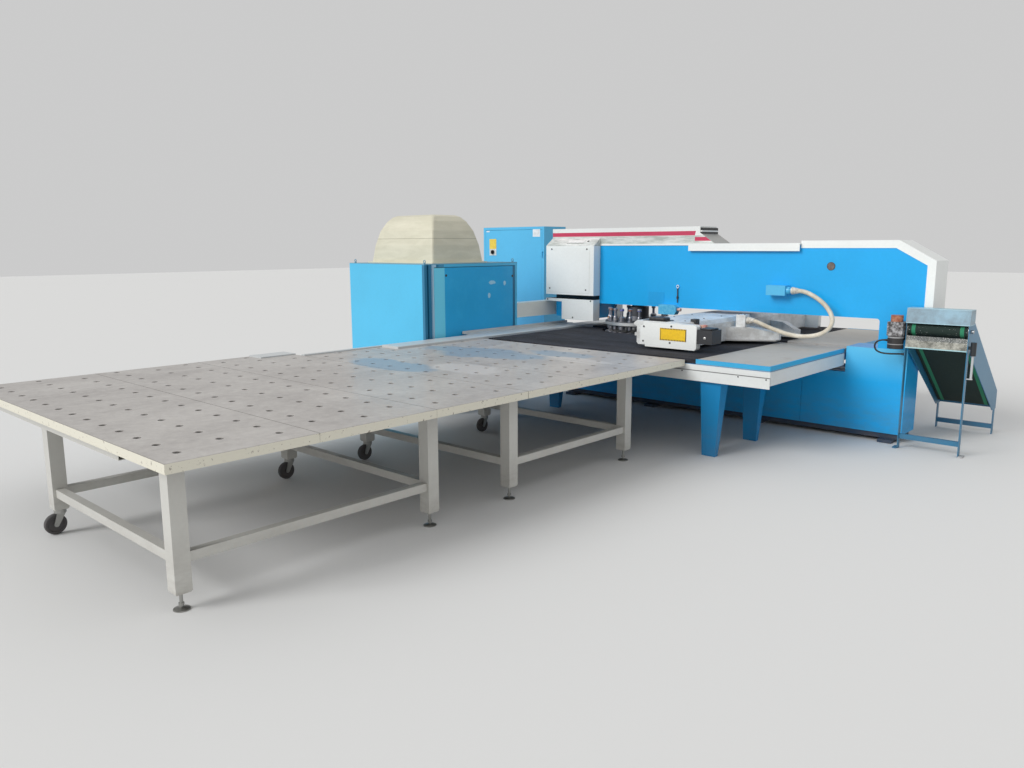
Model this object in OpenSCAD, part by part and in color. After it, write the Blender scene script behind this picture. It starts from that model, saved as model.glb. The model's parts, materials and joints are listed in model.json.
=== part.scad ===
// Turret punch press with its sheet tables, loading table, cabinets and slug conveyor.
// Origin: floor point under the punch axis. +X runs along the frame to the throat's back,
// +Y across the frame, +Z up. All lengths in millimetres.

/* [Press frame] */
// Thickness of the frame across the throat
frame_t = 400; // [340:5:440]
// Height of the frame's top edge
frame_top = 2050; // [2000:5:2120]
// Height of the arm's underside
arm_bottom = 1290; // [1275:5:1320]
// Height of the base's shoulder behind the throat
base_top = 980; // [965:5:1000]
// Height of the low beam that carries the slide
low_beam_top = 700; // [680:5:715]
// Punch axis to the back of the throat
throat_depth = 2750; // [2740:5:2850]
// Length of the column behind the throat
column_l = 452; // [420:1:480]
// Punch axis to the arm's free end
arm_reach = 1600; // [1590:5:1640]
// Lowest point of the head behind its covers
head_bottom = 1085; // [1070:5:1110]
// Height of the welded base above the floor
base_lift = 90; // [80:5:110]
// Thickness of the base's side panels
panel_t = 12; // [8:1:16]
// Width of the bright capping round the top edge
rim_w = 80; // [60:5:100]
// Height that the capping stands above the frame
rim_rise = 48; // [30:1:60]

/* [Head covers and hood] */
// How far the covers stand out from the frame's side
cover_out = 140; // [100:5:170]
// Sheet thickness of the covers
cover_wall = 6; // [4:1:8]
// Bottom edge of the upper cover
upper_cover_z = 1393; // [1380:1:1410]
// Bottom edge of the lower cover
lower_cover_z = 1060; // [1040:5:1080]
// Top edge of the lower cover
lower_cover_top = 1338; // [1325:1:1350]
// Height of the hood on the arm
hood_h = 226; // [200:2:260]

/* [Turret] */
// Radius of the turret discs
turret_r = 430; // [420:1:440]
// Radius of the circle that the stations sit on
station_r = 370; // [360:1:375]
// Number of tool stations
stations = 20; // [16:1:20]
// Diameter of a small tool guide
tool_d = 62; // [50:1:70]
// Diameter of a large tool guide
big_tool_d = 88; // [76:1:92]
// Lower end of the tool guides above the sheet
guide_z = 975; // [972:1:980]
// Underside of the upper disc
upper_disc_z = 1028; // [1020:1:1035]
// Thickness of the upper disc
upper_disc_t = 52; // [44:1:56]
// Thickness of the lower disc
lower_disc_t = 110; // [90:1:120]
// Diameter of the tools' heads
head_d = 54; // [48:1:60]
// Diameter of the tools' stems
stem_d = 30; // [24:1:34]
// Diameter of the turret spindles
spindle_d = 160; // [120:2:180]
// Diameter of the ram's rod
ram_d = 90; // [70:1:100]
// Length of the punch stroke
ram_stroke = 37; // [20:1:37]

/* [Sheet tables] */
// Height of the table tops
table_top = 950; // [945:1:955]
// Thickness of the brush beds and glide plates
bed_t = 45; // [30:1:60]
// Half width of the slot between the near and far tables
slot_half = 100; // [95:1:105]
// Outer edge of the tables from the frame's middle
table_edge = 1995; // [1900:5:2050]
// Left edge of the brush beds
brush_x0 = -1200; // [-1220:5:-1150]
// Joint between the brush beds and the glide plates
brush_x1 = 1642; // [1600:2:1680]
// Right edge of the glide plates
glide_x1 = 2406; // [2380:2:2420]
// Radial gap between the beds and the turret
turret_gap = 40; // [20:1:60]
// Lowest edge of the front skirts
skirt_z = 743; // [720:1:760]
// Leg width at the top, along the frame
leg_top_w = 232; // [200:1:240]
// Leg width at the foot, along the frame
leg_foot_w = 143; // [120:1:170]

/* [Slide, beam and clamps] */
// Left side of the cross beam
beam_x0 = 600; // [590:1:620]
// Width of the cross beam
beam_w = 640; // [600:5:680]
// Underside of the cross beam
beam_z0 = 985; // [980:1:990]
// Top of the cross beam
beam_z1 = 1245; // [1220:1:1255]
// Half length of the cross beam
beam_half = 1536; // [1500:2:1560]
// Width of a clamp
clamp_w = 100; // [80:2:120]
// Distance between the clamps
clamp_pitch = 500; // [400:10:550]

/* [Loading table] */
// Right edge of the loading table
deck_x1 = 1530; // [1500:5:1540]
// Width of the outer loading table
outer_w = 3460; // [3400:10:3480]
// Width of the inner loading table
inner_w = 3130; // [3100:10:3140]
// Height of the loading table
deck_top = 940; // [920:1:945]
// Depth of the panels' folded edges
deck_edge = 60; // [50:1:70]
// Sheet thickness of the panels
deck_t = 8; // [5:1:10]
// Length of one panel of the outer table
panel_l1 = 952; // [900:1:960]
// Length of one panel of the inner table
panel_l2 = 778; // [740:1:785]
// Diameter of the ball holes
ball_hole_d = 50; // [40:1:60]
// Distance between the ball holes in a row
hole_pitch = 255; // [245:1:258]
// Side of the square tube of legs and rails
tube = 100; // [80:5:110]
// Diameter of the caster wheels
wheel_d = 150; // [125:5:160]

/* [Cabinets] */
// Length of the hydraulic cabinet along the frame
hyd_l = 1458; // [1380:2:1500]
// Width of the hydraulic cabinet
hyd_w = 1632; // [1550:2:1650]
// Height of the hydraulic cabinet
hyd_h = 1840; // [1750:5:1900]
// Height of the sound hood on the hydraulic cabinet
sound_h = 600; // [450:5:620]
// Width of the sound hood
sound_w = 955; // [800:5:960]
// Length of the electric cabinet along the frame
ele_l = 1239; // [1100:1:1245]
// Depth of the electric cabinet
ele_w = 500; // [400:5:600]
// Height of the electric cabinet
ele_h = 2330; // [2200:5:2400]

/* [Slug conveyor] */
// Left side plate of the conveyor
conv_x0 = 3072; // [3070:1:3090]
// Width between the outer faces of the side plates
conv_w = 566; // [500:1:600]
// Height of the head drum's axis
conv_head_z = 1225; // [1210:1:1240]
// Slope of the belt in degrees
conv_slope = 34; // [28:1:38]
// Diameter of the head drum
drum_d = 110; // [90:2:120]

/* [Hidden] */

run_gap = 0.05;
half_t = frame_t / 2;
side_out = half_t + cover_out;
// Punch axis to the turret's axis
turret_x = -station_r;
column_x1 = throat_depth + column_l;
// The column steps back over the slug conveyor
column_foot_x = throat_depth + 300;
column_step_z = 1400;
chamfer_l = 352;
chamfer_h = 180;
shoulder_x = 2430;
base_x0 = -1500;
spindle_depth = 210;
cover_x0 = -arm_reach - 70;
cover_x1 = -855;
cover_slope = 100;
hood_x1 = 617;
hood_foot_x = 850;
hood_vent_z = frame_top + hood_h - 76;
channel_x0 = 490;
rim_x0 = 1870;
foot_t = 35;
pad_l = 140;
pad_x0 = -1300;
pad_x1 = 2900;
anchor_y = 222;
anchor_d = 18;
guide_top = upper_disc_z + upper_disc_t + 70;
punch_head_top = 1252;
head_l = 37;
// Stations that hold a tool; the others stand empty
loaded = [2, 3, 5, 7, 8, 12, 13, 14, 15, 16, 17];
frame_tube = 60;
frame_tube_h = 80;
bed_bottom = table_top - bed_t;
leg_top = bed_bottom - frame_tube_h;
leg_x = [-900, 1797];
leg_y = [-1892, -1012];
cross_tube_x = [-1170, -900, 150, 1000, 1797, 2376];
inner_tube_x = 130;
post_x = [-1170, 160];
rail_y = 130;
rail_h = 42;
rail_w = 44;
slide_gap = 0.5;
neck_half = 70;
saddle_x0 = 850;
saddle_l = 560;
deck_plate_t = 15;
brace_tip_x = 1690;
hose_block_x = 1410;
brace_h = 140;
brace_z = beam_z0 + deck_plate_t + brace_h;
cover_t = 80;
end_x = beam_x0 + beam_w + 180;
carriage_x0 = 520;
carriage_y0 = -1000;
carriage_l = 1500;
clamp_y0 = -750;
clamp_tip_x = 170;
jaw_pin_x = 430;
jaw_pin_z = 1045;
jaw_pin_d = 20;
outer_x0 = deck_x1 - outer_w;
inner_x0 = deck_x1 - inner_w;
deck_joint = 3;
deck_y3 = -table_edge - 18;
deck_y2 = deck_y3 - 3 * panel_l2;
deck_y1 = deck_y2 - deck_joint;
deck_y0 = deck_y1 - 3 * panel_l1;
hole_rows = 3;
hole_x1 = 190;
leg_row_near = deck_x1 - 270;
leg_row_far = deck_x1 - 2150;
deck_leg_y = [deck_y0 + 156, deck_y1 - 800, deck_y2 + 67, deck_y3 - 640];
deck_bottom = deck_top - deck_edge;
near_leg_z = 115;
caster_h = 190;
low_rail_z = 280;
low_rail = 60;
strip_z = deck_top + 12;
shelf_z = deck_top + 26;
strip_x0 = brush_x0 - 330;
strip_x1 = brush_x0 - 50;
strip_fold = 22;
// Both cabinet and duct stand clear of the loading table and of the head
hyd_x1 = min(inner_x0, -arm_reach) - 60;
hyd_x0 = hyd_x1 - hyd_l;
hyd_y0 = -2587;
hyd_y1 = hyd_y0 + hyd_w;
sheet = 4;
door_t = 24;
tank_l = 1100;
tank_w = 900;
tank_h = 500;
motor_d = 300;
post = 150;
ele_x0 = -3408;
ele_y0 = 200;
hinge_x = ele_x0 + ele_l - 36;
hinge_y = ele_y0 - 9;
hinge_z = [300, 1900];
hinge_l = 60;
hinge_pin_d = 8;
switch_in = 200;
switch_z = ele_h - 374;
duct_w = 178;
duct_z0 = 1100;
duct_z1 = 1294;
duct_x1 = hyd_x1 - 12;
duct_far_y = 120;
side_plate = 8;
leg_w = 60;
conv_y0 = -330;
conv_front_y = -400;
belt_l = 1500;
tail_z = conv_head_z - belt_l * sin(conv_slope);
tail_y = conv_y0 + belt_l * cos(conv_slope);
cable_d = 17;
conduit_d = 50;
// Corrugated hose from the box on the arm to the block on the brace
conduit_route = [[1850.3, -262, 1553], [1875, -262, 1553], [1940, -268, 1550], [2015, -284, 1532],
    [2100, -304, 1496],
    [2180, -326, 1450], [2250, -350, 1395], [2305, -374, 1330], [2335, -398, 1262],
    [2325, -420, 1195], [2270, -438, 1135], [2185, -450, 1098], [2085, -458, 1080],
    [1980, -464, 1080], [1870, -470, 1096], [1760, -474, 1126], [1650, -476, 1160],
    [1560, -477, 1194], [1515, -477, 1207], [1475, -477, 1214], [1450.3, -477, 1214]];
// Motor lead that loops out of the gear motor and back to the conveyor's leg
cable_route = [[2906.3, -400, 1098], [2890, -400, 1098], [2850, -403, 1095], [2812, -408, 1080],
    [2792, -412, 1054], [2790, -415, 1022], [2804, -417, 994], [2835, -417, 974],
    [2880, -413, 964], [2935, -405, 962], [2990, -394, 964], [3030, -386, 966],
    [3058, -384, 966], [3071.7, -384, 966]];

steel_blue = [0.0, 0.62, 0.88];
pale_blue = [0.27, 0.72, 0.9];
plate_white = [0.86, 0.87, 0.87];
warm_grey = [0.64, 0.62, 0.6];

// A box between two opposite corners
module block(a, b) {
    translate([min(a[0], b[0]), min(a[1], b[1]), min(a[2], b[2])])
        cube([abs(b[0] - a[0]), abs(b[1] - a[1]), abs(b[2] - a[2])]);
}

// An outline in X and Z, pulled along Y between y0 and y1
module side_profile(points, y0, y1) {
    translate([0, y1, 0]) rotate([90, 0, 0]) linear_extrude(y1 - y0) polygon(points);
}

// An outline in Y and Z, pulled along X between x0 and x1
module cross_profile(points, x0, x1) {
    translate([x0, 0, 0]) rotate([90, 0, 90]) linear_extrude(x1 - x0) polygon(points);
}

module upright(x, y, z0, z1, d, fn = 48) {
    translate([x, y, z0]) cylinder(h = z1 - z0, d = d, $fn = fn);
}

module pin_x(x0, x1, y, z, d, fn = 36) {
    translate([x0, y, z]) rotate([0, 90, 0]) cylinder(h = x1 - x0, d = d, $fn = fn);
}

module pin_y(x, y0, y1, z, d, fn = 36) {
    translate([x, y1, z]) rotate([90, 0, 0]) cylinder(h = y1 - y0, d = d, $fn = fn);
}

// The same piece on both sides of the frame's middle plane
module both_sides() {
    children();
    mirror([0, 1, 0]) children();
}

// Unit vector, and the ring and sweep functions for a round hose
function unit(v) = v / norm(v);
function route_dir(p, i) = unit(p[min(i + 1, len(p) - 1)] - p[max(i - 1, 0)]);
function side_of(d) = unit(cross(d, abs(d[1]) < 0.9 ? [0, 1, 0] : [1, 0, 0]));
function ring(c, d, r, n) = let (s = side_of(d), t = cross(d, s))
    [for (k = [0:n - 1]) c + r * (cos(360 * k / n) * s + sin(360 * k / n) * t)];
function along(p, i, steps) = let (k = min(floor(i / steps), len(p) - 2), t = i / steps - k)
    p[k] * (1 - t) + p[k + 1] * t;

module hose(route, d, sides, steps) {
    rings = (len(route) - 1) * steps + 1;
    path = [for (i = [0:rings - 1]) along(route, i, steps)];
    points = [for (i = [0:rings - 1]) each ring(path[i], route_dir(path, i), d / 2, sides)];
    walls = [for (i = [0:rings - 2], k = [0:sides - 1])
        [i * sides + k, i * sides + (k + 1) % sides,
            (i + 1) * sides + (k + 1) % sides, (i + 1) * sides + k]];
    ends = [[for (k = [sides - 1:-1:0]) k],
        [for (k = [0:sides - 1]) (rings - 1) * sides + k]];
    polyhedron(points, concat(walls, ends));
}

// The throat's inner corner is a quarter arc
function corner_arc(x, z, r) = [for (a = [0:15:90]) [x - r + r * sin(a), z - r + r * cos(a)]];

module c_frame() {
    outline = concat(
        [[-arm_reach, frame_top], [-arm_reach, head_bottom], [-900, head_bottom],
            [-900, arm_bottom]],
        corner_arc(throat_depth, arm_bottom, 30),
        [[throat_depth, base_top], [column_foot_x, base_top], [column_foot_x, column_step_z],
            [column_x1, column_step_z], [column_x1, frame_top - chamfer_h],
            [column_x1 - chamfer_l, frame_top]]);
    base = [[base_x0, base_lift], [column_foot_x, base_lift], [column_foot_x, base_top],
        [shoulder_x, base_top], [shoulder_x, low_beam_top], [base_x0, low_beam_top]];
    color(steel_blue) difference() {
        union() {
            side_profile(outline, -half_t, half_t);
            side_profile(base, -half_t + panel_t, half_t - panel_t);
            upright(turret_x, 0, low_beam_top, bed_bottom - lower_disc_t, spindle_d + 120);
        }
        upright(0, 0, arm_bottom - 1, frame_top + 1, ram_d + 2 * run_gap, 64);
        upright(turret_x, 0, arm_bottom - 1, arm_bottom + spindle_depth,
            spindle_d + 2 * run_gap, 64);
        upright(turret_x, 0, low_beam_top - spindle_depth, bed_bottom,
            spindle_d + 2 * run_gap, 64);
    }
}

// Painted side panels of the base, with the open joint that shows under the tables
module base_panels() {
    joint_x = 1964;
    joint = 4;
    low = [[base_x0, base_lift], [joint_x - joint / 2, base_lift],
        [joint_x - joint / 2, low_beam_top], [base_x0, low_beam_top]];
    high = [[joint_x + joint / 2, base_lift], [column_foot_x, base_lift],
        [column_foot_x, base_top], [shoulder_x, base_top], [shoulder_x, low_beam_top],
        [joint_x + joint / 2, low_beam_top]];
    color(steel_blue) both_sides() {
        side_profile(low, -half_t, -half_t + panel_t);
        side_profile(high, -half_t, -half_t + panel_t);
    }
}

module foot_pad(x) {
    difference() {
        block([x - pad_l / 2, -anchor_y - 38, 0], [x + pad_l / 2, anchor_y + 38, foot_t]);
        for (s = [-1, 1])
            upright(x, s * anchor_y, -1, foot_t + 1, anchor_d, 32);
    }
}

module plinth() {
    color([0.03, 0.16, 0.32])
        block([base_x0 + 50, -half_t + 20, foot_t], [column_foot_x - 40, half_t - 20, base_lift]);
    color([0.36, 0.4, 0.33]) for (x = [pad_x0, 0, 1450, pad_x1]) foot_pad(x);
}

// Bright capping over the rear top edge, folded down both sides of the frame
module rim_cover() {
    top = frame_top + rim_rise;
    back = column_x1 + rim_rise;
    outer = [[rim_x0, top], [back - chamfer_l - 10, top], [back, top - chamfer_h - 26],
        [back, column_step_z]];
    inner = [[back - rim_w, column_step_z], [back - rim_w, top - chamfer_h - 72],
        [back - chamfer_l - 36, top - rim_w], [rim_x0, top - rim_w]];
    web = [[back - cover_wall, column_step_z], [back - cover_wall, top - chamfer_h - 29.4],
        [back - chamfer_l - 11.6, top - cover_wall], [rim_x0, top - cover_wall]];
    color(plate_white) {
        both_sides() side_profile(concat(outer, inner), -half_t - cover_wall, -half_t);
        side_profile(concat(outer, web), -half_t, half_t);
        block([rim_x0, -half_t, frame_top], [rim_x0 + cover_wall, half_t, top - cover_wall]);
    }
}

// Folded channels along the arm's top edges, between the hood and the capping
module edge_channels() {
    low = 1985;
    high = 2072;
    out = half_t + 46;
    lip = 10;
    fold = [[-out, low], [-out + lip, low], [-out + lip, high - lip], [-half_t, high - lip],
        [-half_t, high], [-out, high]];
    rest = [[-half_t, frame_top], [-half_t + 30, frame_top], [-half_t + 30, high],
        [-half_t, high]];
    color(plate_white) both_sides() {
        cross_profile(fold, channel_x0, rim_x0);
        cross_profile(rest, hood_foot_x, rim_x0);
        block([channel_x0, -out + lip, low], [channel_x0 + lip, -half_t, high - lip]);
    }
}

// Height of the hood's sloping end at x
function hood_slope_z(x) = frame_top
    + (hood_vent_z - frame_top) * (hood_foot_x - x) / (hood_foot_x - hood_x1);

// Hood with an upright end face over a slope; the exhaust stands on that face
module top_hood() {
    top = frame_top + hood_h;
    vent_x = hood_x1 + 24;
    side = [[cover_x0, frame_top], [hood_foot_x, frame_top], [hood_x1, hood_vent_z],
        [hood_x1, top], [cover_x0, top]];
    hollow = [[cover_x0 + cover_wall, frame_top - 1], [hood_foot_x - 12, frame_top - 1],
        [hood_x1 - cover_wall, hood_vent_z - 4], [hood_x1 - cover_wall, top - cover_wall],
        [cover_x0 + cover_wall, top - cover_wall]];
    color(plate_white) {
        difference() {
            side_profile(side, -half_t, half_t);
            side_profile(hollow, -half_t + cover_wall, half_t - cover_wall);
        }
        // Drip edge along the foot of the hood
        both_sides() block([cover_x1, -half_t - 8, frame_top], [channel_x0, -half_t, frame_top + 12]);
    }
    color([0.1, 0.1, 0.11]) side_profile([[hood_x1, hood_vent_z], [vent_x, hood_slope_z(vent_x)],
        [vent_x, top - 18], [hood_x1, top - 14]], -half_t + 6, half_t - 6);
}

module cover_body(z0, z1, grow) {
    block([cover_x0 - grow, -side_out - grow, z0], [cover_x1 + grow, side_out + grow, z1]);
}

// Box round the head, open below, with a sloping shoulder up to the hood
module head_cover_upper() {
    color(plate_white) difference() {
        union() {
            cover_body(upper_cover_z, frame_top, 0);
            cross_profile([[-side_out, frame_top], [-half_t, frame_top + cover_slope],
                [half_t, frame_top + cover_slope], [side_out, frame_top]], cover_x0, cover_x1);
        }
        cover_body(upper_cover_z - 1, frame_top - cover_wall, -cover_wall);
        cross_profile([[-side_out + cover_wall, frame_top - cover_wall - 1],
            [-side_out + cover_wall, frame_top - cover_wall],
            [-half_t - 1, frame_top + cover_slope - 9], [half_t + 1, frame_top + cover_slope - 9],
            [side_out - cover_wall, frame_top - cover_wall],
            [side_out - cover_wall, frame_top - cover_wall - 1]],
            cover_x0 + cover_wall, cover_x1 - cover_wall);
        // Room for the hood and the arm
        block([cover_x0 - 1, -half_t, frame_top], [cover_x1 + 1, half_t, frame_top + 200]);
        block([-arm_reach, -half_t, upper_cover_z - 1], [cover_x1 + 1, half_t, frame_top + 1]);
    }
}

// Lower box with the corner cut out for the cable duct
module head_cover_lower() {
    cut_x = -1390;
    cut_z = duct_z1 + 6;
    color(plate_white) difference() {
        cover_body(lower_cover_z, lower_cover_top, 0);
        cover_body(lower_cover_z - 1, lower_cover_top + 1, -cover_wall);
        block([cover_x0 - 1, -side_out - 1, lower_cover_z - 1], [cut_x, duct_far_y + 12, cut_z]);
        block([cover_x1 - 20, -half_t, lower_cover_z - 1],
            [cover_x1 + 1, half_t, lower_cover_top + 1]);
    }
    // Brackets on the head's sides
    color(plate_white) both_sides() for (x = [cut_x + 60, cover_x1 - 120])
        block([x, -side_out + cover_wall, 1200], [x + 40, -half_t, 1206]);
}

module head_panels() {
    margin = 30;
    plate = 4;
    color(plate_white) both_sides()
        block([cover_x0 + margin, -side_out - plate, upper_cover_z + margin],
            [cover_x1 - margin - 40, -side_out, frame_top - 20]);
}

module ram_cylinder() {
    top = frame_top + 180;
    color([0.3, 0.32, 0.34]) translate([0, 0, frame_top]) rotate_extrude($fn = 64) polygon([
        [ram_d / 2 + run_gap, 0], [130, 0], [130, 40], [100, 40], [100, top - frame_top],
        [0, top - frame_top], [0, top - frame_top - 30], [75 + run_gap, top - frame_top - 30],
        [75 + run_gap, 40], [ram_d / 2 + run_gap, 40]]);
}

module ram() {
    piston_z = frame_top + 80;
    color([0.75, 0.76, 0.78]) rotate_extrude($fn = 64) polygon([
        [0, punch_head_top + 0.3], [55, punch_head_top + 0.3], [55, arm_bottom - 5],
        [ram_d / 2, arm_bottom - 5], [ram_d / 2, piston_z], [75, piston_z],
        [75, piston_z + 60], [0, piston_z + 60]]);
}

function station_d(i) = i % 5 == 0 ? big_tool_d : tool_d;
function station_at(i) = turret_x + station_r * cos(360 * i / stations);
function station_y(i) = station_r * sin(360 * i / stations);

module upper_turret() {
    color([0.16, 0.17, 0.19]) difference() {
        translate([turret_x, 0, 0]) rotate_extrude($fn = 96) polygon([
            [0, upper_disc_z], [turret_r - 8, upper_disc_z], [turret_r, upper_disc_z + 8],
            [turret_r, upper_disc_z + upper_disc_t - 8],
            [turret_r - 8, upper_disc_z + upper_disc_t], [170, upper_disc_z + upper_disc_t],
            [140, upper_disc_z + upper_disc_t + 60], [140, arm_bottom - 30],
            [spindle_d / 2, arm_bottom - 30], [spindle_d / 2, arm_bottom + spindle_depth - 2],
            [0, arm_bottom + spindle_depth - 2]]);
        for (i = [0:stations - 1])
            upright(station_at(i), station_y(i), upper_disc_z - 1,
                upper_disc_z + upper_disc_t + 1, station_d(i) + 2 * run_gap, 36);
    }
}

// Guide with its collar and a waisted neck, turned about its own axis
module tool_guide(d, bore, top) {
    seat = upper_disc_z + upper_disc_t;
    rotate_extrude($fn = 36) polygon([
        [bore, guide_z], [d / 2 - 4, guide_z], [d / 2, guide_z + 6],
        [d / 2, seat], [d / 2 + 7, seat], [d / 2 + 7, seat + 14], [d / 2 - 3, seat + 14],
        [d / 2 - 3, top - 14], [stem_d / 2 + 9, top], [bore, top]]);
}

// Stem with its lifter spring and the head that the ram strikes
module stem_and_head() {
    wire = 7;
    head_z = punch_head_top - head_l;
    for (k = [0:3]) translate([0, 0, guide_top + 8 + 15 * k]) rotate_extrude($fn = 24)
        translate([stem_d / 2 + 2, 0]) circle(d = wire, $fn = 13);
    rotate_extrude($fn = 36) polygon([
        [0, guide_top], [stem_d / 2, guide_top], [stem_d / 2, head_z], [head_d / 2 - 3, head_z],
        [head_d / 2, head_z + 3], [head_d / 2, punch_head_top - 6],
        [head_d / 2 - 6, punch_head_top], [0, punch_head_top]]);
}

module punch_holders() {
    color([0.72, 0.73, 0.76]) {
        for (i = loaded) if (i < stations) translate([station_at(i), station_y(i), 0]) {
            tool_guide(station_d(i), 0, guide_top);
            stem_and_head();
        }
        tool_guide(big_tool_d, stem_d / 2 + run_gap, guide_top);
    }
}

// Driver and spring head of the tool under the ram
module active_punch() {
    head_z = punch_head_top - head_l;
    color([0.8, 0.8, 0.82]) rotate_extrude($fn = 48) polygon([
        [0, guide_z + 40], [stem_d / 2, guide_z + 40], [stem_d / 2, head_z],
        [head_d / 2 - 3, head_z], [head_d / 2, head_z + 3], [head_d / 2, punch_head_top - 6],
        [head_d / 2 - 6, punch_head_top], [0, punch_head_top]]);
}

module lower_turret() {
    disc_z = table_top - 12 - lower_disc_t;
    color([0.55, 0.56, 0.58]) difference() {
        translate([turret_x, 0, 0]) rotate_extrude($fn = 96) polygon([
            [0, low_beam_top - spindle_depth + 2], [spindle_d / 2, low_beam_top - spindle_depth + 2],
            [spindle_d / 2, bed_bottom - lower_disc_t + 1], [200, bed_bottom - lower_disc_t + 1],
            [200, disc_z], [turret_r - 8, disc_z], [turret_r, disc_z + 8],
            [turret_r, table_top - 12], [0, table_top - 12]]);
        for (i = [0:stations - 1])
            upright(station_at(i), station_y(i), disc_z - 60, table_top, station_d(i) - 24, 32);
    }
}

module dies() {
    color([0.68, 0.69, 0.7]) for (i = [0:stations - 1])
        translate([station_at(i), station_y(i), table_top - 12]) rotate_extrude($fn = 32)
            polygon([[station_d(i) / 2 - 12, 0], [station_d(i) / 2 + 8, 0],
                [station_d(i) / 2 + 8, 9], [station_d(i) / 2 + 5, 12],
                [station_d(i) / 2 - 12, 12]]);
}

module turret_cut(z0, z1) {
    upright(turret_x, 0, z0, z1, 2 * (turret_r + turret_gap), 72);
}

// Brush beds: a backing plate with rows of tufts as ridges
module brush_beds() {
    ridges = 36;
    pitch = (table_edge - slot_half) / ridges;
    color([0.12, 0.12, 0.13]) both_sides() difference() {
        union() {
            block([brush_x0, -table_edge, bed_bottom], [brush_x1, -slot_half, table_top - 22]);
            for (k = [0:ridges - 1])
                block([brush_x0 + 10, -table_edge + k * pitch + 6, table_top - 22],
                    [brush_x1 - 4, -table_edge + (k + 1) * pitch - 6, table_top]);
        }
        turret_cut(bed_bottom - 1, table_top + 1);
    }
}

module glide_plates() {
    color(warm_grey) both_sides()
        block([brush_x1, -table_edge, bed_bottom], [glide_x1, -slot_half, table_top]);
}

// Blue angle round the outer edges of the glide plates
module table_trim() {
    lip = 5;
    drop = bed_t - 5;
    fold = 12;
    color([0.05, 0.5, 0.75]) both_sides() {
        x1 = glide_x1 + lip;
        y1 = -half_t - 2;
        block([brush_x1, -table_edge - lip, table_top - drop], [x1, -table_edge, table_top]);
        block([glide_x1, -table_edge, table_top - drop], [x1, y1, table_top]);
        block([brush_x1, -table_edge - lip, table_top], [x1, -table_edge + fold, table_top + 3]);
        block([glide_x1 - fold, -table_edge + fold, table_top], [x1, y1, table_top + 3]);
    }
}

// White skirts: an upper band, a lower lip that stands proud, and the end skirt
module table_skirts() {
    band_z = 841;
    end_z = 772;
    plate = 8;
    top = bed_bottom - 4;
    color(plate_white) both_sides() {
        block([brush_x0, -table_edge - plate, band_z], [glide_x1 + plate, -table_edge, top]);
        block([brush_x0, -table_edge - 2 * plate, skirt_z],
            [glide_x1 + plate, -table_edge - plate, band_z + 6]);
        block([glide_x1, -table_edge, end_z], [glide_x1 + plate, -half_t - 2, top]);
    }
}

// Welded ladder frames under the beds
module table_frames() {
    z0 = leg_top;
    z1 = bed_bottom;
    in_y = -slot_half - 10;
    color([0.08, 0.3, 0.5]) both_sides() {
        // Posts that stand on the low beam
        for (x = post_x)
            block([x - frame_tube / 2, in_y - frame_tube, low_beam_top],
                [x + frame_tube / 2, in_y, z0]);
        block([brush_x0, -table_edge, z0], [glide_x1, -table_edge + frame_tube, z1]);
        block([inner_tube_x, in_y - frame_tube, z0], [glide_x1, in_y, z1]);
        block([brush_x0, in_y - frame_tube, z0], [2 * turret_x - inner_tube_x, in_y, z1]);
        for (x = cross_tube_x)
            block([x - frame_tube / 2, -table_edge + frame_tube, z0],
                [x + frame_tube / 2, in_y - frame_tube, z1]);
    }
}

// Folded leg, open to the back, narrower at the foot
module table_leg() {
    wall = 8;
    deep_top = 155;
    deep_foot = 60;
    difference() {
        hull() {
            block([-leg_top_w / 2, -deep_top / 2, leg_top - 1], [leg_top_w / 2, deep_top / 2, leg_top]);
            block([-leg_foot_w / 2, -deep_top / 2, 0], [leg_foot_w / 2, -deep_top / 2 + deep_foot, 1]);
        }
        hull() {
            block([-leg_top_w / 2 + wall, -deep_top / 2 + wall, leg_top - 14],
                [leg_top_w / 2 - wall, deep_top / 2 + 40, leg_top - 13]);
            block([-leg_foot_w / 2 + wall, -deep_top / 2 + wall, 12],
                [leg_foot_w / 2 - wall, -deep_top / 2 + deep_foot + 40, 13]);
        }
    }
}

module table_legs() {
    color([0.0, 0.42, 0.66]) both_sides()
        for (x = leg_x, y = leg_y) translate([x, y, 0]) table_leg();
}

// Two profiled rails on the low beam, with end stops
module guide_rails() {
    x0 = 400;
    x1 = shoulder_x - 10;
    w = rail_w / 2;
    color([0.6, 0.61, 0.62]) both_sides() cross_profile([
        [-rail_y - w, low_beam_top], [-rail_y + w, low_beam_top],
        [-rail_y + w, low_beam_top + 12], [-rail_y + w - 8, low_beam_top + 20],
        [-rail_y + w, low_beam_top + 28], [-rail_y + w, low_beam_top + rail_h],
        [-rail_y - w, low_beam_top + rail_h], [-rail_y - w, low_beam_top + 28],
        [-rail_y - w + 8, low_beam_top + 20], [-rail_y - w, low_beam_top + 12]], x0, x1);
}

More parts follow.
